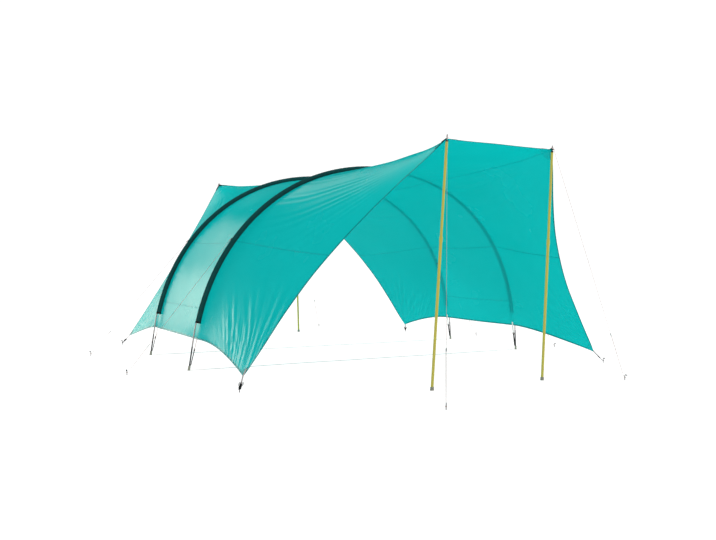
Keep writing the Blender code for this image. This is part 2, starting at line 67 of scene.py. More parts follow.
# Arches
ARCH_X = 0.755
ARCH_SHIFT = -0.123
ARCH_LEAN = 0.062
ARCH_HALF_WIDTH = 2.341
ARCH_RISE = 2.376
ARCH_POWER = 2.11
ARCH_TUBE_LENGTH = 7.476
ARCH_POLE_RADIUS = 0.008
LEG_HEIGHT = 0.35
DARK_FOOT = 0.260

# Cloth: seams are placed by their distance along the arch, from its foot
SLEEVE_START = 0.53
SKIRT_SEAM = 0.70
WALL_SEAM = 1.55
ROOF_SEAM = 3.00
ROOF_SAG = 0.05
HEM_SAG = 0.013
STRIP = 0.028
CLOTH_DROP = 0.0383
GATHER_LENGTH = 0.117
GATHER_HEIGHT = 0.0014

# Sleeves: a fin that the pole pulls up, between flanges sewn on the cloth
FIN_HALF_WIDTH = 0.0220
FIN_NARROWING = 0.45
FIN_START = -0.0368
FIN_RISE = 0.0472
FLANGE_EDGES = (0.0380, 0.0235)
BAND_WIDTH = 0.024

# Wings
CORNER = (2.102, 2.321, 0.135)
CORNER_PEG = (2.194, 2.394)
SIDE_EDGE_CUT = np.array([-0.266, -0.040, 0.0])
SIDE_EDGE_POWER = 1.43
SIDE_HEM_CUT = np.array([-0.117, -0.046, 0.055])
FRONT_EDGE_SAG = 0.003
EDGE_SEAM_SHARE = 0.51
CROSS_PULL = 0.12

# Lines, pegs and straps
GUY_PEGS = {"front_left": (3.75, -1.17), "front_right": (3.30, 1.51),
            "rear_left": (-3.75, -1.17), "rear_right": (-3.55, 1.43)}
SIDE_PEGS = {"front": (0.68, 3.05), "rear": (-1.10, 3.05)}
SIDE_LINE_HEIGHT = 1.45
LINE_RADIUS = 0.0015
PEG_RADIUS = 0.004
PEG_HEIGHT = 0.060
PEG_EYE_HEIGHT = 0.030
HOOK_WAY = (0.8, 0.6)
RUNNER_SHARE = 0.19
STRAP_WIDTH = 0.025
STRAP_THICKNESS = 0.0018

# Steps of the coarse net that the solids use, and how often each one is split here
LOWER_WALL_STEPS = 5
UPPER_WALL_STEPS = 7
ROOF_STEPS = 6
WING_STEPS = 8
ROW_SPLIT = 11
WING_SPLIT = 9
BAY_COLUMNS = 36


class Value:
    """A number, colour or vector on its way through a material's nodes."""

    def __init__(self, nodes, socket):
        self.nodes, self.socket = nodes, socket

    def maths(self, operation, *values):
        return self.nodes.node("ShaderNodeMath", {"operation": operation}, dict(enumerate(values)))

    def __add__(self, other):
        return self.maths("ADD", self, other)

    def __sub__(self, other):
        return self.maths("SUBTRACT", self, other)

    def __rsub__(self, other):
        return self.maths("SUBTRACT", other, self)

    def __mul__(self, other):
        return self.maths("MULTIPLY", self, other)

    def __truediv__(self, other):
        return self.maths("DIVIDE", self, other)

    def __rtruediv__(self, other):
        return self.maths("DIVIDE", other, self)

    def __abs__(self):
        return self.maths("ABSOLUTE", self)

    __radd__ = __add__
    __rmul__ = __mul__

    def sine(self):
        return self.maths("SINE", self)

    def wave(self, length):
        """A sine wave of this length, from 0 to 1."""
        return (self * (TURN / length)).sine() * 0.5 + 0.5

    def step(self, low, high):
        """0 up to low, 1 from high on, with a smooth rise between."""
        return self.nodes.node("ShaderNodeMapRange", {"interpolation_type": "SMOOTHSTEP"}, {
            "Value": self, "From Min": low, "From Max": high, "To Min": 0.0, "To Max": 1.0})

    def near(self, centre, reach):
        """1 at the centre, falling smoothly to 0 at the reach on either side."""
        return 1.0 - abs(self - centre).step(0.0, reach)


class Nodes:
    """A node tree. Any node comes from node(), and Values carry the maths."""

    def __init__(self, tree):
        self.tree = tree

    def feed(self, socket, value):
        """Link a Value, or set a constant, on a socket."""
        if isinstance(value, Value):
            self.tree.links.new(value.socket, socket)
        elif socket.type == "RGBA":
            socket.default_value = (*value, 1.0)
        else:
            socket.default_value = value

    def node(self, kind, settings=None, values=None, out=0):
        """Any node: its settings first, then the values or links of its sockets."""
        made = self.tree.nodes.new(kind)
        for word, value in (settings or {}).items():
            setattr(made, word, value)
        for place, value in (values or {}).items():
            self.feed(made.inputs[place], value)
        return Value(self, made.outputs[out])

    def parts(self, vector):
        """The numbers X, Y and Z of a vector."""
        split = self.node("ShaderNodeSeparateXYZ", {}, {0: vector}).socket.node
        return [Value(self, socket) for socket in split.outputs]

    def place(self):
        """Object coordinates in metres."""
        return self.node("ShaderNodeTexCoord", out="Object")

    def spread(self):
        """The piece's own UV map in metres: along it and across it."""
        return self.parts(self.node("ShaderNodeUVMap", {"uv_map": "UVMap"}))[:2]

    def noise(self, where, scale, detail=3.0, roughness=0.55):
        return self.node("ShaderNodeTexNoise", {}, {
            "Vector": where, "Scale": scale, "Detail": detail, "Roughness": roughness})

    def stretched(self, x, y, z=0.0, detail=3.0, roughness=0.55):
        """Noise at coordinates that are given one by one, so that it can be drawn out."""
        where = self.node("ShaderNodeCombineXYZ", {}, {0: x, 1: y, 2: z})
        return self.noise(where, 1.0, detail, roughness)

    def mixed(self, share, first, second):
        """A colour between two colours."""
        return self.node("ShaderNodeMix", {"data_type": "RGBA"}, {
            0: share, 6: first, 7: second}, out=2)

    def shaded(self, colour, factor):
        """A colour made darker or lighter by a varying factor around 1."""
        return self.node("ShaderNodeVectorMath", {"operation": "SCALE"}, {
            0: colour, "Scale": factor})


class Finish(Nodes):
    """A material on the Principled shader, with the slot that its pieces usually take."""

    def __init__(self, name, slot, **values):
        self.material = bpy.data.materials.new(name)
        self.material.use_nodes = True
        super().__init__(self.material.node_tree)
        self.shader = self.tree.nodes["Principled BSDF"]
        self.slot = slot
        self.set(**values)

    def set(self, **values):
        """Feed the shader's sockets by their names."""
        for word, value in values.items():
            socket = word.replace("_", " ").title().replace("Ior", "IOR")
            self.feed(self.shader.inputs[socket], value)

    def bump(self, height, distance, strength=1.0, before=None):
        """A bump from a height between 0 and 1 that stands for the distance."""
        sockets = {"Height": height, "Distance": distance, "Strength": strength}
        if before is not None:
            sockets["Normal"] = before
        made = self.node("ShaderNodeBump", {}, sockets)
        self.set(normal=made)
        return made


def scaled(colour, factor, shift=0.0):
    return tuple(factor * part + shift for part in colour)


def stitches(along, across, rows, pitch, width):
    """Thread lines: dashes of the pitch on each row across, as a mask from 0 to 1."""
    mask = across.near(rows[0], width)
    for row in rows[1:]:
        mask = mask.maths("MAXIMUM", mask, across.near(row, width))
    return mask * along.wave(pitch).step(0.12, 0.32)


def plain_weave(along, across, pitch):
    """Height of a plain weave: warp and weft take turns on top, as a product of sines."""
    warp, weft = ((way * (math.pi / pitch)).sine() for way in (along, across))
    return warp * weft * 0.5 + 0.5


TEAL = (0.001, 0.430, 0.425)
TEAL_THROUGH = (0.001, 0.520, 0.480)
DARK_TEAL = (0.002, 0.070, 0.068)
RUBBED_TEAL = (0.007, 0.084, 0.080)
THREAD_TEAL = (0.003, 0.110, 0.104)
GOLD = (0.620, 0.530, 0.085)
WORN_GOLD = (0.48, 0.41, 0.11)
PALE_METAL = (0.560, 0.500, 0.480)
DARK_METAL = (0.060, 0.058, 0.058)
CORD_BROWN = (0.520, 0.370, 0.320)
TRACER = (0.58, 0.54, 0.49)
DUST = (0.20, 0.19, 0.17)


def corner_streaks(finish, where):
    """Height of the small pulls above a low corner, from 0 to 1.

    They are noise of the slope of a line to a point under the corner, so that each streak
    runs up from there. They rise from the corner, end at 1 m height, and stop at the arches.
    """
    x, y, z = finish.parts(where)
    slope = (abs(x) - CORNER[0] + 0.5 * z) / (z + 1.2)
    pulls = finish.stretched(slope * 27.0, z * 0.8, (x + y) * 0.4, 1.0, 0.3)
    return pulls * abs(x).step(0.90, 1.30) * z.step(0.14, 0.30) * (1.0 - z.step(0.45, 1.00))


def tent_cloth(name, depth, light_share, double_rows=()):
    """Thin coated polyester: plain weave, slubs, fold creases, and light that comes through.

    The depth scales the colour, for places where two or more layers lie together, and
    double_rows places rows of stitching across the piece.
    """
    finish = Finish(name, "canopy_cloth", specular_ior_level=0.12)
    where = finish.place()
    along, across = finish.spread()
    cloudy = finish.noise(where, 1.7)
    streaks = finish.stretched(along * 9.0, across * 300.0, detail=2.0)
    slubs = finish.stretched(along * 300.0, across * 9.0, detail=2.0)
    tone = cloudy * 0.10 + streaks * 0.05 + slubs * 0.05 + 0.90
    colour = finish.shaded(scaled(TEAL, depth), tone)
    crease = 1.0 - abs(finish.noise(where, 4.2, 2.0, 0.45) - 0.5).step(0.0, 0.110)
    pulled = finish.bump(corner_streaks(finish, where), 0.017)
    creased = finish.bump(crease, 0.0016, 0.12, pulled)
    threads = plain_weave(along, across, 0.0011) + streaks * 0.6 + slubs * 0.6
    last = finish.bump(threads, 0.00012, 0.35, creased)
    if double_rows:
        thread = stitches(along, across, double_rows, 0.0035, 0.0011)
        colour = finish.mixed(thread, colour, scaled(TEAL, 0.45))
        last = finish.bump(thread, 0.0006, 0.8, last)
    finish.set(base_color=colour, roughness=0.235 + 0.06 * cloudy)
    through = finish.node("ShaderNodeBsdfTranslucent", {}, {
        "Color": scaled(TEAL_THROUGH, depth), "Normal": last})
    both = finish.node("ShaderNodeMixShader", {}, {
        0: light_share, 1: Value(finish, finish.shader.outputs[0]), 2: through})
    finish.feed(finish.tree.nodes["Material Output"].inputs["Surface"], both)
    return finish


def sleeve_cloth():
    """Heavier dark cloth of the sleeves: coarse weave, stitched flanges, rubbed crown."""
    finish = Finish("sleeve_cloth", "sleeve_cloth", specular_ior_level=0.20)
    along, across = finish.spread()
    cloudy = finish.noise(finish.place(), 14.0)
    thread = stitches(along, across, (-0.0665, 0.0665, -0.0590, 0.0590), 0.0040, 0.0011)
    rubbed = across.near(0.0, 0.012) * cloudy * 0.35
    colour = finish.mixed(rubbed, finish.shaded(DARK_TEAL, cloudy * 0.5 + 0.75), RUBBED_TEAL)
    finish.set(base_color=finish.mixed(thread, colour, THREAD_TEAL),
               roughness=0.50 + 0.18 * cloudy)
    woven = finish.bump(plain_weave(along, across, 0.0018), 0.00025, 0.5)
    finish.bump(thread, 0.0007, 0.8, woven)
    return finish


def gold_tube():
    """Golden powder coat on a steel tube: fine orange peel, and rub marks along the tube."""
    finish = Finish("upright_paint", "upright_paint",
                    metallic=0.10, coat_weight=0.5, coat_roughness=0.18)
    along, across = finish.spread()
    rubs = finish.stretched(along * 2.5, across * 120.0, detail=4.0, roughness=0.7)
    colour = finish.shaded(GOLD, rubs * 0.16 + 0.92)
    finish.set(base_color=finish.mixed(rubs.step(0.64, 0.80) * 0.35, colour, WORN_GOLD),
               roughness=0.26 + 0.22 * rubs)
    finish.bump(finish.noise(finish.place(), 900.0, 2.0), 0.00010, 0.25)
    return finish


def arch_tube_metal():
    """Pale anodised alloy tube with drawing lines along it, dark on the foot sections."""
    finish = Finish("arch_pole_metal", "arch_pole_metal", metallic=0.35)
    along, across = finish.spread()
    lines = finish.stretched(along * 3.0, across * 900.0)
    marks = finish.noise(finish.place(), 40.0, 4.0, 0.7)
    pale = finish.shaded(PALE_METAL, lines * 0.25 + marks * 0.2 + 0.8)
    from_foot = along.maths("MINIMUM", along, ARCH_TUBE_LENGTH - along)
    upper = from_foot.step(DARK_FOOT, DARK_FOOT + 0.004)
    finish.set(base_color=finish.mixed(upper, DARK_METAL, pale), roughness=0.28 + 0.20 * marks)
    finish.bump(lines, 0.00006, 0.3)
    return finish


def steel(name, slot, shade, rough):
    """Zinc-plated wire or pin: a faint spangle, and darker scuffs."""
    finish = Finish(name, slot, metallic=0.95)
    where = finish.place()
    spangle = finish.node("ShaderNodeTexVoronoi", {}, {"Vector": where, "Scale": 260.0}, "Color")
    scuffs = finish.noise(where, 90.0, 4.0, 0.7)
    tone = finish.parts(spangle)[0] * 0.20 + scuffs * 0.30 + 0.72
    finish.set(base_color=finish.shaded(shade, tone), roughness=rough + 0.22 * scuffs)
    finish.bump(scuffs, 0.00012, 0.3)
    return finish


def webbing(name, slot, shade, row):
    """Woven webbing: rows of slanted picks with a firm edge, and a row of stitches each side."""
    finish = Finish(name, slot, specular_ior_level=0.3)
    along, across = finish.spread()
    picks = (along + abs(across) * 0.6).wave(0.0022)
    ribs = across.wave(0.0017)
    cloudy = finish.noise(finish.place(), 60.0)
    # The colour is darker where the picks and ribs sink: painted shade in the weave's grooves. The
    # cloudy part is the webbing's own uneven tone.
    colour = finish.shaded(shade, picks * 0.25 + ribs * 0.10 + cloudy * 0.25 + 0.68)
    thread = stitches(along, across, (-row, row), 0.0040, 0.0009)
    finish.set(base_color=finish.mixed(thread, colour, scaled(shade, 0.6, 0.03)),
               roughness=0.66 + 0.16 * cloudy)
    woven = finish.bump(picks * ribs, 0.0004, 0.6)
    finish.bump(thread, 0.0005, 0.6, woven)
    return finish


def braided_cord():
    """Round braid: two sets of slanted strands that cross, with a paler tracer."""
    finish = Finish("guyline_cord", "guyline_cord", specular_ior_level=0.35)
    along, across = finish.spread()
    right, left = ((along * 620.0 + across * way).sine() for way in (2.0 * TURN, -2.0 * TURN))
    braid = right * left * 0.5 + 0.5
    tracer = (along * 155.0 + across * TURN).sine().step(0.90, 0.99)
    # The colour is darker where the braid's height is low: painted shade in the grooves between the
    # strands.
    colour = finish.shaded(CORD_BROWN, braid * 0.35 + 0.72)
    finish.set(base_color=finish.mixed(tracer, colour, TRACER), roughness=0.58 + 0.15 * braid)
    finish.bump(braid, 0.0005, 0.6)
    return finish


def moulded(name, slot, shade, rough):
    """Moulded rubber or plastic with a fine spark finish and dusty patches."""
    finish = Finish(name, slot, specular_ior_level=0.4)
    where = finish.place()
    dust = finish.noise(where, 25.0, 4.0, 0.65)
    finish.set(base_color=finish.mixed(dust.step(0.52, 0.82) * 0.35, shade, DUST),
               roughness=rough + 0.18 * dust)
    finish.bump(finish.noise(where, 1400.0, 2.0), 0.00008, 0.4)
    return finish


CANOPY_CLOTH = tent_cloth("canopy_cloth", 1.0, 0.27)
SEAM_CLOTH = tent_cloth("seam_cloth", 1.04, 0.05, (-0.0034, 0.0034))
HEM_CLOTH = tent_cloth("hem_cloth", 0.66, 0.05, (0.0035, 0.0125))
PATCH_CLOTH = tent_cloth("patch_cloth", 1.04, 0.05)
SLEEVE_CLOTH = sleeve_cloth()
GOLD_PAINT = gold_tube()
ARCH_METAL = arch_tube_metal()
PEG_STEEL = steel("peg_steel", "peg_steel", (0.32, 0.33, 0.33), 0.30)
PIN_STEEL = steel("pin_steel", "upright_paint", (0.50, 0.50, 0.50), 0.22)
BLACK_WEBBING = webbing("black_webbing", "black_webbing", (0.014, 0.015, 0.016), 0.0075)
PALE_WEBBING = webbing("pale_webbing", "pale_webbing", (0.800, 0.680, 0.650), 0.0100)
GREY_WEBBING = webbing("grey_webbing", "black_webbing", (0.400, 0.350, 0.340), 0.0075)
CORD = braided_cord()
RUBBER = moulded("foot_rubber", "upright_paint", (0.300, 0.290, 0.230), 0.55)
BUCKLE_PLASTIC = moulded("buckle_plastic", "black_webbing", (0.020, 0.021, 0.022), 0.38)
RUNNER_PLASTIC = moulded("runner_plastic", "guyline_cord", (0.420, 0.430, 0.420), 0.42)


def skin(name, points, uv, finish, wrap=False, caps=False):
    """A mesh of quads over a grid of points, which rides on the tent.

    wrap joins the last column to the first, and caps closes the first and last rows. uv has
    a column more than the points where the grid wraps. The faces of a wrapped grid face
    outwards by its volume, and those of an open one face up.
    """
    rows, columns = points.shape[:2]
    across = columns if wrap else columns - 1
    row, column = np.meshgrid(np.arange(rows - 1), np.arange(across), indexing="ij")
    turns = ((0, 0), (0, 1), (1, 1), (1, 0))
    quads = np.stack([(row + r) * columns + (column + c) % columns for r, c in turns], -1)
    quads = quads.reshape(-1, 4)
    loops = [np.stack([uv[row + r, column + c] for r, c in turns], -2).reshape(-1, 2)]
    flat = points.reshape(-1, 3)
    corners = flat[quads]
    areas = np.cross(corners[:, 2] - corners[:, 0], corners[:, 3] - corners[:, 1])
    facing = np.sum(areas * (corners.mean(axis=1) - flat.mean(axis=0) if wrap else UP))
    faces = quads.tolist()
    if caps:
        ring_of = np.arange(columns)
        faces += [ring_of[::-1].tolist(), ((rows - 1) * columns + ring_of).tolist()]
        loops += [uv[0, :columns][::-1], uv[-1, :columns]]
    mesh = bpy.data.meshes.new(name)
    mesh.from_pydata(flat, [], faces)
    layer = mesh.uv_layers.new(name="UVMap")
    layer.data.foreach_set("uv", np.concatenate(loops).astype(np.float32).ravel())
    if facing < 0.0:
        mesh.flip_normals()
    mesh.materials.append(finish.material)
    mesh.shade_smooth()
    mesh.set_sharp_from_angle(angle=math.radians(38.0))
    piece = bpy.data.objects.new(name, mesh)
    bpy.context.collection.objects.link(piece)
    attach(piece, "root")
    return piece


def unit(vectors):
    vectors = np.asarray(vectors, float)
    return vectors / np.linalg.norm(vectors, axis=-1, keepdims=True)


def lengths(path):
    """Distance along a path of points, from its start."""
    steps = np.linalg.norm(np.diff(path, axis=0), axis=-1)
    return np.concatenate([np.zeros((1, *steps.shape[1:])), np.cumsum(steps, axis=0)])


def ring(count, closed=False):
    """Unit circle as (cosine, sine) pairs, with the first pair again at the end if closed."""
    angle = TURN * np.arange(count) / count
    pairs = np.stack([np.cos(angle), np.sin(angle)], axis=-1)
    return np.concatenate([pairs, pairs[:1]]) if closed else pairs


def drawn(name, path, side, lift, section, finish, run=None, loop=False):
    """A closed section of (side, lift) offsets carried along a path.

    side and lift are unit vectors, and section an outline, each for the whole path or one
    for each of its points. UV runs along the path, and goes across by the side offset of the
    one outline, so that stitching keeps its distance, or else by the share of a turn. The
    ends are closed, or joined to each other in a loop.
    """
    side, lift = np.broadcast_to(side, path.shape), np.broadcast_to(lift, path.shape)
    points = path[:, None] + section[..., :1] * side[:, None] + section[..., 1:] * lift[:, None]
    count = points.shape[1]
    across = np.append(section[:, 0], section[0, 0]) if section.ndim == 2 \
        else np.arange(count + 1) / count
    run = np.broadcast_to((lengths(path) if run is None else run)[:, None], (len(path), count + 1))
    uv = np.stack([run, np.broadcast_to(across, run.shape)], axis=-1)
    piece = skin(name, points, uv, finish, wrap=True, caps=not loop)
    if loop:
        piece.modifiers.new("weld", "WELD").merge_threshold = 0.00001
    return piece


def round_bar(name, path, radius, finish, reference=UP, sides=12):
    """A round bar, wire or cord along a path, with one radius or one for each point.

    Its section lies square to the path and starts square to the reference.
    """
    along = unit(np.gradient(path, axis=0))
    side = unit(np.cross(along, reference))
    section = ring(sides) * np.reshape(radius, (-1, 1, 1))
    return drawn(name, path, side, np.cross(side, along), section, finish)


def turned(name, foot, top, profile, finish, sides=32):
    """A round body on the line from foot to top, from pairs of radius and height."""
    radius, height = np.array(profile, float).T
    path = foot + (top - foot) / (top[2] - foot[2]) * (height - foot[2])[:, None]
    section = ring(sides) * radius[:, None, None]
    return drawn(name, path, FORWARD, ACROSS, section, finish, run=height)


def hoop(name, centre, normal, radius, thickness, finish, squash=1.0):
    """A closed ring of round section around a centre, square to the normal."""
    first = unit(np.cross(normal, (0.31, 0.22, 0.93)))
    around = ring(36, closed=True)
    out = around[:, :1] * first + around[:, 1:] * np.cross(normal, first)
    section = ring(10)[None] * thickness * np.array([1.0, squash])
    return drawn(name, centre + radius * out, out, normal, section, finish, loop=True)


def strap(name, path, across, width, thickness, finish):
    """A strap along a path: a flat band whose edges are round; across is its width's way."""
    along = unit(np.gradient(path, axis=0))
    side = unit(across - np.sum(across * along, axis=1, keepdims=True) * along)
    angle = np.linspace(-math.pi / 2.0, math.pi / 2.0, 5)
    half = thickness / 2.0
    edge = np.stack([width / 2.0 - half + half * np.cos(angle), half * np.sin(angle)], axis=-1)
    section = np.concatenate([edge, -edge])
    return drawn(name, path, side, np.cross(side, along), section, finish)


def thicken(piece, thickness):
    """Give a sheet its thickness, half to each side."""
    modifier = piece.modifiers.new("thickness", "SOLIDIFY")
    modifier.thickness = thickness
    modifier.offset = 0.0
    modifier.use_even_offset = True
    return piece


def smooth_step(value, low, high):
    """0 up to low, 1 from high on, and the cubic 3t^2 - 2t^3 between."""
    share = ((value - low) / (high - low)).clip(0.0, 1.0)
    return share * share * (3.0 - 2.0 * share)


class Arch:
    """The pole line of an arch in the YZ plane, read by distance from its left foot.

    It is a superellipse, |y/a|^n + |z/b|^n = 1, on straight legs along its end tangents.
    """

    def __init__(self, samples=4001, leg_samples=200):
        start = math.asin((LEG_HEIGHT / ARCH_RISE) ** (ARCH_POWER / 2.0))
        turn = np.linspace(start, math.pi - start, samples)
        cosine = np.cos(turn)
        y = -ARCH_HALF_WIDTH * np.sign(cosine) * np.abs(cosine) ** (2.0 / ARCH_POWER)
        z = ARCH_RISE * np.sin(turn) ** (2.0 / ARCH_POWER)
        self.foot_y = abs(y[0] - z[0] * (y[1] - y[0]) / (z[1] - z[0]))
        leg = np.linspace(0.0, 1.0, leg_samples + 1)[:-1]
        leg_y = -self.foot_y + leg * (y[0] + self.foot_y)
        leg_z = leg * z[0]
        self.line = np.stack([np.concatenate([leg_y, y, -leg_y[::-1]]),
                              np.concatenate([leg_z, z, leg_z[::-1]])], axis=-1)
        self.distance = lengths(self.line)
        self.slope = np.gradient(self.line, self.distance, axis=0)
        self.length = self.distance[-1]
        self.hem = self.distance[leg_samples]

    def at(self, distance, offset=0.0):
        """Points Y, Z at these distances, moved outwards by offset."""
        tangent, line = (np.stack([np.interp(distance, self.distance, column)
                                   for column in table.T], axis=-1)
                         for table in (self.slope, self.line))
        tangent = unit(tangent)
        outward = np.stack([-tangent[..., 1], tangent[..., 0]], axis=-1)
        return line + np.asarray(offset)[..., None] * outward

    def set_up(self, x, distance, offset=0.0):
        """Points X, Y, Z of the standing arch whose foot is at x, with its lean."""
        distance = np.asarray(distance, float)
        across = self.at(distance, np.broadcast_to(offset, distance.shape))
        along = x + ARCH_SHIFT + ARCH_LEAN * across[..., 1]
        return np.concatenate([along[..., None], across], axis=-1)


ARCH = Arch()


def cloth_rows():
    """Distances of the fine rows along the arch, which split the coarse net's rows."""
    lower = np.linspace(SLEEVE_START, WALL_SEAM, LOWER_WALL_STEPS + 1)
    upper = np.linspace(WALL_SEAM, ROOF_SEAM, UPPER_WALL_STEPS + 1)[1:]
    roof = np.linspace(ROOF_SEAM, ARCH.length - ROOF_SEAM, ROOF_STEPS + 1)[1:-1]
    side = np.concatenate([[ARCH.hem], lower, upper])
    coarse = np.concatenate([side, roof, ARCH.length - side[::-1]])
    place = np.arange((len(coarse) - 1) * ROW_SPLIT + 1) / ROW_SPLIT
    return np.interp(place, np.arange(len(coarse)), coarse)


ROWS = cloth_rows()
WALL_ROW = (LOWER_WALL_STEPS + 1) * ROW_SPLIT
ROOF_ROW = WALL_ROW + UPPER_WALL_STEPS * ROW_SPLIT
LAST_ROW = len(ROWS) - 1
CREST_ROW = LAST_ROW // 2


def row_of(distance):
    """Fractional row at a distance along the arch."""
    return np.interp(distance, ROWS, np.arange(len(ROWS)))


def on_side(row, side):
    """A row of the left side, or the one that mirrors it on the right."""
    return row if side < 0 else LAST_ROW - row


def bay_grid():
    """Cloth between the arches: arch points set in by the drop and by a parabola of sag."""
    inner = np.linspace(-1.0, 1.0, BAY_COLUMNS + 1) * (ARCH_X - STRIP)
    middle = ARCH_X - STRIP / 2.0
    x = np.concatenate([[-ARCH_X, -middle], inner, [middle, ARCH_X]])
    share = (ROWS - ARCH.hem) / (ARCH.length - 2.0 * ARCH.hem)
    sag = HEM_SAG + (ROOF_SAG - HEM_SAG) * np.sin(math.pi * share.clip(0.0, 1.0)).clip(0.0) ** 0.6
    hollow = np.clip(1.0 - (x / (ARCH_X - STRIP)) ** 2, 0.0, None)
    offset = -CLOTH_DROP - sag[:, None] * hollow[None, :]
    return ARCH.set_up(x[None, :], np.broadcast_to(ROWS[:, None], offset.shape), offset)


def wing_border():
    """Outer border of the front wing: left corner, pole tops, right corner."""
    mirror = np.array([1.0, -1.0, 1.0])
    corner = np.array(CORNER) * mirror
    peak = np.array([POLE_TOP[0] - 0.010, -POLE_TOP[1], POLE_HEIGHT])
    rows = ROWS[:ROOF_ROW + 1]
    share = np.interp(rows, ROWS[[0, WALL_ROW, ROOF_ROW]], (0.0, EDGE_SEAM_SHARE, 1.0))[:, None]
    bend = (4.0 * share * (1.0 - share)) ** SIDE_EDGE_POWER
    side = corner * (1.0 - share) + peak * share + bend * SIDE_EDGE_CUT
    span = np.linspace(0.0, 1.0, LAST_ROW - 2 * ROOF_ROW + 1)[1:-1, None]
    sag = 4.0 * span * (1.0 - span) * FRONT_EDGE_SAG
    front = peak * (1.0 - span) + peak * mirror * span - sag * UP
    return np.concatenate([side, front, side[::-1] * mirror])


def pulled_net(net, pull):
    """Fill a net between its four borders.

    Every point is the mean of its four neighbours, and those along the rows' direction
    count pull times as much. The springs of rows and columns are undone one after the other,
    by the eigenvectors of their second differences.
    """
    def springs(count):
        return 2.0 * np.eye(count) - np.eye(count, k=1) - np.eye(count, k=-1)

    inside = net[1:-1, 1:-1]
    known = np.zeros_like(inside)
    known[0] += pull * net[0, 1:-1]
    known[-1] += pull * net[-1, 1:-1]
    known[:, 0] += net[1:-1, 0]
    known[:, -1] += net[1:-1, -1]
    row_force, row_way = np.linalg.eigh(springs(inside.shape[0]))
    column_force, column_way = np.linalg.eigh(springs(inside.shape[1]))
    spread = np.einsum("ri,rck,cj->ijk", row_way, known, column_way, optimize=True)
    spread /= (pull * row_force[:, None] + column_force[None, :])[..., None]
    net[1:-1, 1:-1] = np.einsum("ri,ijk,cj->rck", row_way, spread, column_way, optimize=True)
    return net


def wing_grid(end):
    """Cloth of an end's wing, from the arch outwards: flat strip, then the pulled net."""
    turn = np.array([end, 1.0, 1.0])
    first = ARCH.set_up(end * ARCH_X, ROWS, -CLOTH_DROP) * turn
    second = first + STRIP * FORWARD
    border = wing_border()
    net = np.zeros((len(ROWS), WING_STEPS * WING_SPLIT + 1, 3))
    net[:, 0] = second
    net[:, -1] = border
    share = np.linspace(0.0, 1.0, net.shape[1])[:, None]
    bend = 4.0 * share * (1.0 - share)
    for row, side in ((0, -1.0), (LAST_ROW, 1.0)):
        cut = SIDE_HEM_CUT * (1.0, side, 1.0)
        net[row] = second[row] * (1.0 - share) + border[row] * share + bend * cut
    net = pulled_net(net, CROSS_PULL * (ROW_SPLIT / WING_SPLIT) ** 2)
    middle = (first + second)[:, None] / 2.0
    return np.concatenate([first[:, None], middle, net], axis=1) * turn


def grid_normals(points):
    """Unit normals of a grid of points, upwards at the crest."""
    normal = unit(np.cross(np.gradient(points, axis=1), np.gradient(points, axis=0)))
    return normal if normal[CREST_ROW, normal.shape[1] // 2, 2] > 0.0 else -normal


def fan_folds(points, apex, target, up, phase, reach, spread, count, depth):
    """Folds that run together at an apex, around the way from there to a target.

    They are two sine waves of the angle around the apex. They grow from nothing at the apex
    to the depth at a third of the reach, die out by the reach, and fade at the fan's sides.
    """
    away = points - apex
    middle = target - apex
    middle = unit(middle - (middle @ up) * up)
    angle = np.arctan2(away @ np.cross(up, middle), away @ middle)
    far = np.linalg.norm(away, axis=-1)
    bent = angle + 0.05 * np.sin(4.0 * angle + phase) + 0.018 * np.sin(3.1 * far + phase)
    wave = 0.62 * np.sin(count * bent + phase) + 0.38 * np.sin(1.31 * count * bent + 2.0 * phase)
    grown = smooth_step(far, 0.0, reach / 3.0) * (1.0 - smooth_step(far, 0.55 * reach, reach))
    beside = np.cos((angle / spread).clip(-1.0, 1.0) * math.pi / 2.0) ** 2
    return depth * wave * grown * beside


def swell(points, depth, phase):
    """Slow unevenness of stretched cloth, as a sum of plane waves 0.4 m to 1.1 m long."""
    ways = ((5.7, 1.9, 3.1), (-4.1, 6.3, 2.2), (8.9, -3.7, 5.1), (2.3, 10.7, -6.9), (13.1, 4.9, 9.7))
    return depth * sum(np.sin(points @ np.array(way) + phase + 1.7 * number) / (number + 1.5)
                       for number, way in enumerate(ways))


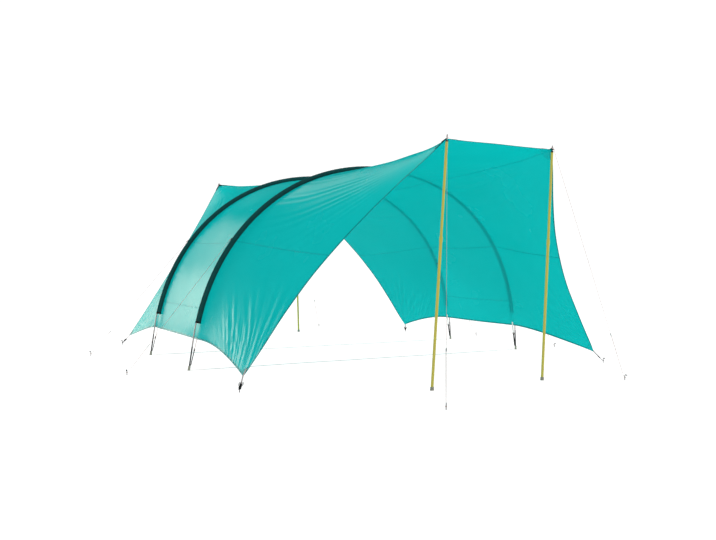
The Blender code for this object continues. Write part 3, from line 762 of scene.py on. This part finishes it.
class Canopy:
    """The whole cloth as one grid: rows go over the tent from left to right, and columns
    along it from rear to front. It holds points, normals and cloth lengths."""

    def __init__(self):
        bay, rear, front = bay_grid(), wing_grid(-1), wing_grid(1)
        base = np.concatenate([rear[:, :0:-1], bay, front[:, 1:]], axis=1)
        self.arch = {-1: rear.shape[1] - 1, 1: rear.shape[1] + bay.shape[1] - 2}
        self.last = base.shape[1] - 1
        self.edge = {-1: 0, 1: self.last}
        normals = grid_normals(base)
        self.points = base + normals * self.folds(base, normals)[..., None]
        self.normals = grid_normals(self.points)
        run = lengths(self.points.swapaxes(0, 1)).T
        middle = sum(self.arch.values()) // 2
        self.run = run - run[:, middle:middle + 1]
        rise = lengths(self.points)
        self.rise = rise - rise[CREST_ROW]

    def folds(self, base, normals):
        """How far the cloth lies off its even shape: fans at peaks and corners, swell, and
        gathers beside the sleeves."""
        total = np.zeros(base.shape[:2])
        column = np.arange(base.shape[1])
        for end in ENDS.values():
            edge, arch = self.edge[end], self.arch[end]
            third = (edge + 2 * arch) // 3
            share = ((column - arch) * end / abs(edge - arch)).clip(0.0, 1.0)
            for side in SIDES.values():
                phase = 1.3 * end + 2.1 * side
                row = on_side(ROOF_ROW, side)
                target = base[on_side(ROOF_ROW - 3 * ROW_SPLIT, side), arch]
                fans = fan_folds(base, base[row, edge], target, normals[row, third], phase,
                                 reach=2.9, spread=0.75, count=92.0, depth=0.0038)
                row = on_side(0, side)
                up = normals[abs(row - 2 * ROW_SPLIT), (edge + arch) // 2]
                target = base[on_side(WALL_ROW, side), third]
                fans += fan_folds(base, base[row, edge], target, up, phase,
                                  reach=1.20, spread=1.10, count=38.0, depth=0.0055)
                total += fans * smooth_step(share, 0.0, 0.10)
        apart = np.minimum(abs(column - self.arch[1]), abs(column - self.arch[-1]))
        total += swell(base, depth=0.0030, phase=0.7) * smooth_step(apart, 1.0, 9.0)
        gathers = np.sin(ROWS * (TURN / GATHER_LENGTH) + 0.8 * np.sin(ROWS * 5.3))
        gathers = GATHER_HEIGHT * gathers * smooth_step(ROWS, 0.5, 0.7)
        return total + gathers[:, None] * np.exp(-((apart - 5.0) / 2.6) ** 2)

    def at(self, row, column, lift=0.0):
        """Points and normals at these fractional rows and columns, read between the grid's."""
        row = np.asarray(row, float).clip(0.0, LAST_ROW)
        column = np.asarray(column, float).clip(0.0, self.last)
        low_row = np.minimum(row.astype(int), LAST_ROW - 1)
        low_column = np.minimum(column.astype(int), self.last - 1)
        row_share = (row - low_row)[..., None]
        column_share = (column - low_column)[..., None]

        def read(grid):
            first, second = (grid[low_row + step, low_column] * (1.0 - column_share)
                             + grid[low_row + step, low_column + 1] * column_share
                             for step in (0, 1))
            return first * (1.0 - row_share) + second * row_share

        normal = read(self.normals)
        return read(self.points) + normal * np.asarray(lift)[..., None], normal


CLOTH = Canopy()


def make_seams():
    """Flat-felled seams along the whole tent, and the skirt's seam in the bay."""
    whole = np.arange(CLOTH.last + 1.0)
    bay = np.arange(CLOTH.arch[-1] + 2.0, CLOTH.arch[1] - 1.0)
    made = []
    for side_name, side in SIDES.items():
        for word, row, columns in (("roof", ROOF_ROW, whole), ("wall", WALL_ROW, whole),
                                   ("skirt", row_of(SKIRT_SEAM), bay)):
            path, normal = CLOTH.at(on_side(row, side), columns)
            across = np.cross(normal, np.gradient(path, axis=0))
            made.append(strap(f"{word}_seam_{side_name}", path, across, 0.0110, 0.0030, SEAM_CLOTH))
    return made


def hem_profile():
    """A binding folded over the cloth's edge, thicker at the rim where a cord runs in it."""
    inner, rim = 0.0170, -0.0012
    top = [(inner, 0.0009), (inner * 0.5, 0.0012), (0.0040, 0.0016), (0.0015, 0.0024), (0.0, 0.0026)]
    edge = [(rim, 0.0019), (rim - 0.0010, 0.0), (rim, -0.0019)]
    low = [(across, -lift) for across, lift in reversed(top)]
    return np.array(top + edge + low)


def make_hems():
    """The folded binding round the whole cloth, in eight runs that meet at the corners."""
    rows, columns = np.arange(LAST_ROW + 1.0), np.arange(CLOTH.last + 1.0)
    runs = {"left_hem": (0.0 * columns, columns), "right_hem": (0.0 * columns + LAST_ROW, columns)}
    for end_name, end in ENDS.items():
        for word, part in (("left", rows[:ROOF_ROW + 1]),
                           ("crown", rows[ROOF_ROW:LAST_ROW - ROOF_ROW + 1]),
                           ("right", rows[LAST_ROW - ROOF_ROW:])):
            runs[f"{end_name}_{word}_edge"] = (part, 0.0 * part + CLOTH.edge[end])
    made = []
    for name, (row, column) in runs.items():
        path = CLOTH.at(row, column)[0]
        inside = CLOTH.at(row + np.sign(CREST_ROW - row) * (np.ptp(column) > 0),
                          column + np.sign(CLOTH.last / 2.0 - column) * (np.ptp(row) > 0))[0]
        along = unit(np.gradient(path, axis=0))
        inward = inside - path
        inward = unit(inward - np.sum(inward * along, axis=1, keepdims=True) * along)
        made.append(drawn(f"{name}_binding", path, inward, np.cross(along, inward),
                          hem_profile(), HEM_CLOTH))
    return made


def make_patch(name, row, column, reach, row_way, column_way):
    """A reinforcing patch inside a corner of the cloth: a quarter round with a turned edge.

    Its grid goes by angle between the two borders and by distance from the corner. The ways
    are the signs of rows and columns that lead into the cloth.
    """
    corner = CLOTH.at(row, column)[0]
    row_step = np.linalg.norm(CLOTH.at(row + row_way * 4.0, column)[0] - corner) / 4.0
    column_step = np.linalg.norm(CLOTH.at(row, column + column_way * 4.0)[0] - corner) / 4.0
    angle = np.linspace(0.0, math.pi / 2.0, 25)[:, None]
    far = np.linspace(0.03, 1.0, 22)[None, :] * reach
    points = CLOTH.at(row + row_way * far * np.sin(angle) / row_step,
                      column + column_way * far * np.cos(angle) / column_step, -0.0012)[0]
    uv = np.stack([angle * reach + 0.0 * far, far - reach + 0.0 * angle], axis=-1)
    return thicken(skin(name, points, uv, PATCH_CLOTH), 0.0008)


def make_patches():
    """Cloth patches on the inside of the four low corners and the four peaks."""
    made = []
    for end_name, end in ENDS.items():
        for side_name, side in SIDES.items():
            for word, row, reach, way in (("corner", 0.0, 0.10, -side), ("peak", ROOF_ROW, 0.13, side),
                                          ("peak_wall", ROOF_ROW, 0.13, -side)):
                made.append(make_patch(f"{end_name}_{side_name}_{word}_patch", on_side(row, side),
                                       CLOTH.edge[end], reach, way, -end))
    return made


def make_canopy():
    """The canopy as one continuous sheet, and everything sewn on it."""
    uv = np.stack([CLOTH.run, CLOTH.rise], axis=-1)
    cloth = skin("canopy", CLOTH.points, uv, CANOPY_CLOTH)
    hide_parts(*(f"{bay}_{panel}" for bay in ("centre", "front", "rear")
                         for panel in ("left_wall", "roof_panel", "right_wall")))
    sewn = make_seams() + make_hems() + make_patches()


def sleeve_hump(count=21):
    """Section of a sleeve pulled up in a fin by its pole, as offsets along X and outwards.

    The width is a cosine that narrows towards the crown, and the height a power of the sine.
    """
    turn = np.linspace(math.pi, 0.0, count)
    rise = np.sin(turn)
    wide = FIN_HALF_WIDTH * np.cos(turn) * (1.0 - FIN_NARROWING * rise ** 2)
    return wide, FIN_START + FIN_RISE * rise ** 0.8


def beside_arch(end, distance, offset, lift):
    """Points on the cloth at these distances along an arch and offsets to the front of it."""
    row = row_of(distance)[:, None]
    arch = CLOTH.arch[end]
    way = np.sign(offset)[None, :]
    whole = row.astype(int)
    steps = [abs(CLOTH.run[whole, arch + 3 * side] - CLOTH.run[whole, arch + 2 * side])
             for side in (-1, 1)]
    far = np.abs(offset)[None, :]
    beyond = np.maximum(far - STRIP, 0.0) / np.where(way < 0.0, *steps)
    column = arch + way * (2.0 * np.minimum(far, STRIP) / STRIP + beyond)
    return CLOTH.at(np.broadcast_to(row, column.shape), column, lift)[0]


def sleeve_points(end, distance, wide, high, lift):
    """Rows of a sleeve's section: flange on the cloth, hump over the pole, flange."""
    flange = np.linspace(*FLANGE_EDGES, 4)
    hump = ARCH.set_up(end * ARCH_X + wide, np.broadcast_to(distance[:, None], wide.shape), high)
    return np.concatenate([beside_arch(end, distance, -flange, lift), hump,
                           beside_arch(end, distance, flange[::-1], lift)], axis=1)


def gathered(distance, phase):
    """Small uneven puckers along a sewn tube, between -1 and 1, from three sine waves."""
    return sum(share * np.sin(distance * TURN / length + (number + 1.0) * phase)
               for number, (share, length) in enumerate(((0.5, 0.061), (0.3, 0.034), (0.2, 0.143))))


def make_sleeve(end_name, end):
    """A dark sleeve over the arch pole, puckered along its flanges, and its two end bands."""
    distance = np.arange(SLEEVE_START + 0.002, ARCH.length - SLEEVE_START, 0.0085)
    wide, high = sleeve_hump()
    pucker = gathered(distance, 0.9 * end)[:, None]
    points = sleeve_points(end, distance, wide * (1.0 + 0.10 * pucker),
                           high + 0.0007 * pucker - 0.0003 * np.abs(pucker), 0.0013)
    girth = lengths(points[len(points) // 2])
    run = np.broadcast_to(distance[:, None], points.shape[:2])
    uv = np.stack([run, np.broadcast_to(girth - girth[-1] / 2.0, run.shape)], axis=-1)
    sleeve = thicken(skin(f"{end_name}_sleeve", points, uv, SLEEVE_CLOTH), 0.0008)
    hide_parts(f"{end_name}_arch_sleeve")
    for side_name, side in SIDES.items():
        start = SLEEVE_START if side < 0 else ARCH.length - SLEEVE_START - BAND_WIDTH
        rows = start + np.linspace(0.0, BAND_WIDTH, 4)
        points = sleeve_points(end, rows, np.broadcast_to(wide * 1.05, (4, len(wide))),
                               high + 0.0008, 0.0022)
        uv = np.stack(np.broadcast_arrays(girth, rows[:, None] - start - BAND_WIDTH / 2.0),
                      axis=-1)
        band = skin(f"{end_name}_{side_name}_sleeve_band", points, uv, BLACK_WEBBING)
        thicken(band, 0.0010)


def make_arch_tube(end_name, end):
    """The arch pole, whose sections meet at slightly thicker ferrules."""
    distance = np.arange(0.0065, ARCH.length - 0.0065, 0.012)
    ferrules = np.arange(0.30, ARCH.length, 0.62)
    apart = np.min(np.abs(distance[:, None] - ferrules[None, :]), axis=1)
    radius = ARCH_POLE_RADIUS * 1.05 * np.where(apart < 0.024, 1.0, 1.0 / 1.10)
    tube = round_bar(f"{end_name}_arch_tube", ARCH.set_up(end * ARCH_X, distance), radius,
                     ARCH_METAL, FORWARD, 20)
    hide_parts(f"{end_name}_arch_pole")


def buckle(name, centre, along, across, width):
    """A ladder buckle: a rounded frame with two bars, as a hoop squeezed to a rectangle."""
    along = unit(along)
    across = unit(across - (across @ along) * along)
    normal = np.cross(across, along)
    around = ring(40, closed=True)
    power = np.sign(around) * np.abs(around) ** 0.45 * width * np.array([0.62, 0.60])
    path = centre + power[:, :1] * across + power[:, 1:] * along
    section = ring(8)[None] * np.array([0.0022, 0.0026])
    drawn(name, path, unit(path - centre), normal, section, BUCKLE_PLASTIC, loop=True)
    for number, shift in enumerate((-0.006, 0.006)):
        half = across * width * 0.60
        middle = centre + shift * along
        round_bar(f"{name}_bar_{number + 1}", np.linspace(middle - half, middle + half, 4), 0.0021,
                  BUCKLE_PLASTIC, normal, 10)


def make_ground_webbing(end_name, end):
    """Webbing on the ground between an arch's feet, a cup on each, and straps up to the hem."""
    reach = ARCH.foot_y - 0.012
    y = np.linspace(-reach, reach, 161)
    x = end * ARCH_X + ARCH_SHIFT + 0.004 * np.sin(y * 2.3) * (1.0 - (y / reach) ** 2)
    z = 0.0014 + 0.0009 * (1.0 + np.sin(y * 4.7)) * (1.0 - (y / reach) ** 4)
    ground = strap(f"{end_name}_ground_webbing", np.column_stack([x, y, z]), FORWARD,
                   STRAP_WIDTH, STRAP_THICKNESS, PALE_WEBBING)
    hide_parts(f"{end_name}_base_strap")
    for side_name, side in SIDES.items():
        mirror = np.array([1.0, -side, 1.0])
        foot, top = ARCH.set_up(end * ARCH_X, np.array([0.0, ARCH.hem])) * mirror
        turned(f"{end_name}_{side_name}_arch_cup", foot, top, [
            (0.0150, 0.0002), (0.0165, 0.0020), (0.0165, 0.0060), (0.0140, 0.0110),
            (0.0140, 0.0440), (0.0128, 0.0500), (0.0095, 0.0500), (0.0092, 0.0460),
            (0.0092, 0.0060)], RUBBER)
        rise = np.linspace(0.055, ARCH.hem + 0.045, 30)
        inwards = np.interp(rise, (0.055, ARCH.hem), (-0.0133, -CLOTH_DROP - 0.0030))
        path = ARCH.set_up(end * ARCH_X, rise, inwards) * mirror
        name = f"{end_name}_{side_name}_riser"
        strap(name, path[14:], FORWARD, STRAP_WIDTH, STRAP_THICKNESS, PALE_WEBBING)
        strap(f"{name}_tail", path[:16], FORWARD, STRAP_WIDTH, STRAP_THICKNESS, BLACK_WEBBING)
        buckle(f"{name}_buckle", path[15], path[16] - path[14], FORWARD, STRAP_WIDTH)


def pole_axis(end, side, height):
    """Point on an upright's centre line at this height."""
    share = height / POLE_HEIGHT
    x, y = (foot + share * (top - foot) for foot, top in zip(POLE_FOOT, POLE_TOP))
    return np.array([end * x, side * y, height])


def make_upright(place, end, side):
    """A two-piece upright: ribbed foot, lower tube, twist collar, upper tube, plug and spike."""
    foot, top = pole_axis(end, side, 0.0), pole_axis(end, side, POLE_HEIGHT)
    joint, lower, upper = POLE_JOINT_HEIGHT, POLE_RADIUS, POLE_UPPER_RADIUS
    tube = turned(f"{place}_upright", foot, top, [
        (lower - 0.001, 0.020), (lower, 0.021),
        *((lower, height) for height in np.linspace(0.08, joint, 18)),
        (lower - 0.0006, joint + 0.001), (upper, joint + 0.0012),
        *((upper, height) for height in np.linspace(joint + 0.05, POLE_HEIGHT - 0.020, 14)),
        (upper - 0.001, POLE_HEIGHT - 0.019)], GOLD_PAINT)
    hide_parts(f"{place}_pole")
    ribs = [(radius, base + rise) for base in (0.0075, 0.0125, 0.0175, 0.0225)
            for radius, rise in ((0.0182, 0.0), (0.0182, 0.0015), (0.0194, 0.0028))]
    turned(f"{place}_upright_foot", foot, top, [
        (0.0195, 0.0002), (0.0200, 0.0016), (0.0200, 0.0060), *ribs,
        (0.0176, 0.0300), (0.0158, 0.0350), (0.0143, 0.0360)], RUBBER)
    turned(f"{place}_upright_collar", foot, top, [
        (lower + 0.0002, joint - 0.030), (lower + 0.0022, joint - 0.028),
        (lower + 0.0028, joint - 0.020), (lower + 0.0028, joint + 0.018),
        (lower + 0.0018, joint + 0.026), (upper + 0.0012, joint + 0.032),
        (upper + 0.0002, joint + 0.033)], GOLD_PAINT, sides=36)
    turned(f"{place}_upright_plug", foot, top, [
        (upper + 0.0004, POLE_HEIGHT - 0.030), (upper + 0.0009, POLE_HEIGHT - 0.029),
        (upper + 0.0009, POLE_HEIGHT - 0.018), (upper - 0.0020, POLE_HEIGHT - 0.0145),
        (0.0060, POLE_HEIGHT - 0.0135)], BUCKLE_PLASTIC)
    rise = POLE_HEIGHT + SPIKE_RISE
    turned(f"{place}_upright_spike", foot, top, [
        (SPIKE_RADIUS, POLE_HEIGHT - 0.016), (SPIKE_RADIUS, rise - 0.007),
        (SPIKE_RADIUS * 0.9, rise - 0.004), (SPIKE_RADIUS * 0.6, rise - 0.0012),
        (SPIKE_RADIUS * 0.25, rise)], PIN_STEEL, sides=24)


def make_peak_tab(place, end, side):
    """Black webbing over the roof seam's end with an eyelet on the spike, and edge wings."""
    column, row = CLOTH.edge[end], on_side(ROOF_ROW, side)
    peak, normal = CLOTH.at(row, column)
    along = unit(CLOTH.at(row, column - 2 * end)[0] - peak)
    normal = unit(normal - (normal @ along) * along)
    path = peak + np.linspace(-0.018, 0.075, 12)[:, None] * along + normal * 0.0022
    tab = strap(f"{place}_peak_webbing", path, np.cross(normal, along), 0.038, 0.0016,
                BLACK_WEBBING)
    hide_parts(f"{place}_peak_tab")
    spike = pole_axis(end, side, POLE_HEIGHT + 0.0035)
    hoop(f"{place}_peak_eyelet", spike, normal, 0.0078, 0.0022, PIN_STEEL, 0.7)
    for word, way in (("crown", side), ("wall", -side)):
        path, lifted = CLOTH.at(row + way * np.linspace(0.0, 6.5, 14), column - end * 0.45)
        across = np.cross(lifted, np.gradient(path, axis=0))[0]
        strap(f"{place}_peak_{word}_tape", path + lifted * 0.0026, across, 0.026, 0.0012,
              BLACK_WEBBING)


def make_peg(name, node, place, end, side):
    """A wire peg with its hook turned away from the tent, from the ground up.

    Its path runs through a few points, split in fine steps and evened out three times.
    """
    hook = np.array([end * HOOK_WAY[0], side * HOOK_WAY[1], 0.0])
    shape = np.array([(0.0, 0.0), (0.0, 0.020), (0.0, 0.040), (0.0, PEG_HEIGHT - 0.010),
                      (0.003, PEG_HEIGHT - 0.003), (0.010, PEG_HEIGHT),
                      (0.018, PEG_HEIGHT - 0.004), (0.022, PEG_HEIGHT - 0.014)])
    path = place * LEVEL + shape[:, :1] * hook + shape[:, 1:] * UP
    run = lengths(path)
    fine = np.linspace(0.0, run[-1], 8 * len(path))
    eased = np.stack([np.interp(fine, run, column) for column in path.T], axis=-1)
    for _ in range(3):
        eased[1:-1] = (eased[:-2] + 2.0 * eased[1:-1] + eased[2:]) / 4.0
    peg = round_bar(name, eased, PEG_RADIUS, PEG_STEEL, np.cross(UP, hook))
    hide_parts(node)


def make_corner(place, end, side):
    """Webbing sewn on a low corner, doubled back through a buckle, and its loop on the peg."""
    column, row = CLOTH.edge[end], on_side(0, side)
    corner, normal = CLOTH.at(row, column)
    into = unit(CLOTH.at(row - side * 6, column - end * 2)[0] - corner)
    peg = np.array([end * CORNER_PEG[0], side * CORNER_PEG[1], PEG_EYE_HEIGHT])
    landing = peg + 0.0105 * unit((corner - peg) * LEVEL)
    sewn = corner + normal * 0.0022
    run = np.linspace(0.0, 1.0, 14)[:, None]
    path = np.concatenate([(sewn + into * (0.075 * (1.0 - run)))[:-1],
                           sewn * (1.0 - run) + landing * run])
    held = len(path) - 6
    sewn_on = strap(f"{place}_corner_webbing", path[:held + 1], unit(np.cross(normal, into)),
                    0.024, 0.0016, GREY_WEBBING)
    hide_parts(f"{place}_corner_strap")
    level = unit(np.cross(UP, landing - sewn))
    strap(f"{place}_corner_tail", path[held - 1:] - 0.0004 * UP, level, 0.026, STRAP_THICKNESS,
          BLACK_WEBBING)
    buckle(f"{place}_corner_buckle", path[held], landing - sewn, level, 0.036)
    hoop(f"{place}_corner_loop", peg, UP, 0.0078, 0.0026, BLACK_WEBBING)
    make_peg(f"{place}_corner_wire_peg", f"{place}_corner_peg", peg, end, side)


def runner(name, centre, along, normal):
    """A flat line runner with rounded ends, a plate of superellipse outline."""
    along = unit(along)
    normal = unit(normal - (normal @ along) * along)
    around = ring(28)
    outline = np.sign(around) * np.abs(around) ** 0.7 * np.array([0.0070, 0.0170])
    share, height = np.array([(0.80, -0.0030), (1.0, -0.0022), (1.0, 0.0022), (0.80, 0.0030)]).T
    drawn(name, centre + height[:, None] * normal, np.cross(normal, along), along,
          share[:, None, None] * outline, RUNNER_PLASTIC)


def knot(name, centre, along, radius):
    """Three turns of cord wound round the line, as a short helix."""
    along = unit(along)
    first = unit(np.cross(along, UP))
    turn = np.linspace(0.0, 3.0 * TURN, 60)[:, None]
    path = (centre + (turn / (3.0 * TURN) - 0.5) * 0.014 * along
            + radius * (np.cos(turn) * first + np.sin(turn) * np.cross(along, first)))
    round_bar(name, path, 0.0020, CORD, along, 8)


def make_line(name, node, start, top, peg, normal):
    """A taut guyline: cord from its top to its loop on the peg, doubled below its runner.

    top is the centre of the loop at the top, where there is one.
    """
    stop = peg - 0.010 * unit((peg - start) * LEVEL)
    along = stop - start
    line = round_bar(name, start + along * np.linspace(0.0, 1.0, 40)[:, None], LINE_RADIUS, CORD,
                     sides=10)
    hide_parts(node)
    for word, centre in (("top", top), ("low", peg)):
        if centre is not None:
            hoop(f"{name}_{word}_loop", centre, UP, 0.0085, 0.0025, CORD)
    knot(f"{name}_top_knot", start + unit(along) * 0.022, along, 0.0040)
    across = unit(np.cross(along, normal))
    held = stop - along * RUNNER_SHARE
    runner(f"{name}_runner", held, along, normal)
    share = np.linspace(0.0, 1.0, 20)[:, None]
    doubled = held + across * 0.0052 + (stop - held - across * 0.004) * share
    round_bar(f"{name}_return", doubled, LINE_RADIUS * 0.95, CORD, sides=10)


def make_guyline(place, end, side):
    """The line from an upright's spike to its peg."""
    peg = np.array([*GUY_PEGS[place], PEG_EYE_HEIGHT])
    spike = pole_axis(end, side, POLE_HEIGHT + TOP_EYE_RISE)
    away = unit((peg - spike) * LEVEL)
    make_line(f"{place}_guy_cord", f"{place}_guyline", spike + 0.010 * away, spike, peg, away)
    make_peg(f"{place}_guy_wire_peg", f"{place}_guy_peg", peg, end, side)


def make_side_line(place, end_name, side):
    """The line from a tab on an arch sleeve to a peg beside the tent."""
    end = ENDS[end_name]
    half = len(ARCH.line) // 2
    reach = np.interp(SIDE_LINE_HEIGHT, ARCH.line[:half, 1], ARCH.distance[:half])
    mirror = np.array([1.0, -side, 1.0])
    path = ARCH.set_up(end * ARCH_X, reach + np.linspace(-0.014, 0.014, 6), 0.0135) * mirror
    outward = ARCH.set_up(0.0, reach, 1.0) - ARCH.set_up(0.0, reach)
    outward = unit(outward * mirror * (ACROSS + UP))
    strap(f"{place}_side_tab", path, FORWARD, 0.020, STRAP_THICKNESS, BLACK_WEBBING)
    peg = np.array([SIDE_PEGS[end_name][0], side * SIDE_PEGS[end_name][1], PEG_EYE_HEIGHT])
    make_line(f"{place}_side_cord", f"{place}_side_line", path.mean(axis=0) + outward * 0.006,
              None, peg, outward)
    make_peg(f"{place}_side_wire_peg", f"{place}_side_peg", peg, end, side)


def set_down(thing, place, right, up, back):
    """Stand a lamp or camera at a place, with its own X, Y and Z along three unit vectors."""
    matrix = Matrix(np.column_stack([right, up, back]).tolist()).to_4x4()
    matrix.translation = place
    thing.matrix_world = matrix
    bpy.context.collection.objects.link(thing)


def lamp(name, place, target, size, power, colour=(1.0, 1.0, 1.0), sheen=False):
    """A soft box that looks at a target, and lights either the sheen only or all but it."""
    data = bpy.data.lights.new(name, "AREA")
    data.shape = "RECTANGLE"
    data.size, data.size_y = size
    data.energy = power
    data.color = colour
    light = bpy.data.objects.new(name, data)
    light.visible_camera = False
    light.visible_glossy = sheen
    light.visible_diffuse = light.visible_transmission = not sheen
    back = unit(np.subtract(place, target))
    right = unit(np.cross(UP, back))
    set_down(light, place, right, np.cross(back, right), back)


def make_camera():
    """The photograph's camera: place, turn, tilt, roll and focal length in pixels."""
    turn, tilt, roll = np.radians((59.663, 0.977, 0.648))
    focal, wide, sensor = 791.44, 716.0, 36.0
    place = (9.081, -5.161, 1.278)
    back = np.array([math.sin(turn) * math.cos(tilt), -math.cos(turn) * math.cos(tilt),
                     math.sin(tilt)])
    right = unit(np.cross(UP, back))
    up = np.cross(back, right)
    data = bpy.data.cameras.new("camera")
    data.sensor_width = sensor
    data.lens = focal * sensor / wide
    camera = bpy.data.objects.new("camera", data)
    set_down(camera, place, math.cos(roll) * right + math.sin(roll) * up,
             math.cos(roll) * up - math.sin(roll) * right, back)
    bpy.context.scene.camera = camera


def make_floor():
    """A pale paper floor under the tent.

    To the camera it is white by its own glow, nearly whatever the lamps do. All other rays
    meet pale paper with about half of that glow.
    """
    paper = Finish("floor_paper", None, roughness=0.9, specular_ior_level=0.1,
                   emission_strength=1.0)
    seen = paper.node("ShaderNodeLightPath", out="Is Camera Ray")
    grain = paper.noise(paper.place(), 3.0)
    lit = paper.shaded((0.90, 0.90, 0.90), grain * 0.02 + 0.99)
    paper.set(base_color=paper.mixed(seen, lit, (0.12, 0.12, 0.12)),
              emission_color=paper.mixed(seen, (0.55, 0.55, 0.55), (1.08, 1.08, 1.08)))
    mesh = bpy.data.meshes.new("floor")
    reach, height = 60.0, -0.0015
    corners = [(x * reach, y * reach, height) for x, y in ((-1, -1), (1, -1), (1, 1), (-1, 1))]
    mesh.from_pydata(corners, [], [(0, 1, 2, 3)])
    mesh.materials.append(paper.material)
    floor = bpy.data.objects.new("floor", mesh)
    bpy.context.collection.objects.link(floor)
    floor.visible_glossy = False


def make_studio():
    """White background, and soft light from above, from behind the tent and from its right.

    The background is white to the camera, half as strong and faintly blue as light, and dark
    to reflections.
    """
    world = bpy.data.worlds.new("studio")
    bpy.context.scene.world = world
    world.use_nodes = True
    sky = Nodes(world.node_tree)
    background = sky.tree.nodes["Background"].inputs
    seen, glossy = (sky.node("ShaderNodeLightPath", out=f"Is {kind} Ray")
                    for kind in ("Camera", "Glossy"))
    sky.feed(background["Color"], sky.mixed(seen, (0.93, 0.97, 1.0), (1.0, 1.0, 1.0)))
    sky.feed(background["Strength"], seen * 1.10 + (1.0 - seen) * (1.0 - glossy) * 0.50)
    lamp("sky_box", (1.0, -1.0, 11.0), (0.0, 0.0, 0.0), (12.0, 12.0), 540.0)
    lamp("key_box", (-11.0, -4.5, 6.5), (0.0, -1.0, 1.2), (1.4, 1.4), 880.0)
    lamp("side_box", (6.5, 8.5, 3.2), (1.0, 1.5, 1.0), (3.0, 3.0), 460.0)
    for name, place, target, size, power in (
            ("sheen_box", (-11.4, -4.6, 3.65), (0.0, -1.2, 1.2), (7.8, 6.7), 305.0),
            ("low_sheen_box", (-11.3, -6.2, 2.25), (0.0, -2.0, 1.2), (4.6, 3.9), 188.0),
            ("crest_box", (-9.0, 0.4, 9.0), (0.5, -0.6, 2.0), (4.0, 2.5), 50.0)):
        lamp(name, place, target, size, power, (1.0, 0.93, 0.78), sheen=True)
    bpy.context.scene.view_settings.view_transform = "Standard"


make_camera()
make_floor()
make_studio()
make_canopy()
for end_word, end_sign in ENDS.items():
    make_sleeve(end_word, end_sign)
    make_arch_tube(end_word, end_sign)
    make_ground_webbing(end_word, end_sign)
    for side_word, side_sign in SIDES.items():
        spot = f"{end_word}_{side_word}"
        make_upright(spot, end_sign, side_sign)
        make_peak_tab(spot, end_sign, side_sign)
        make_corner(spot, end_sign, side_sign)
        make_guyline(spot, end_sign, side_sign)
        make_side_line(spot, end_word, side_sign)
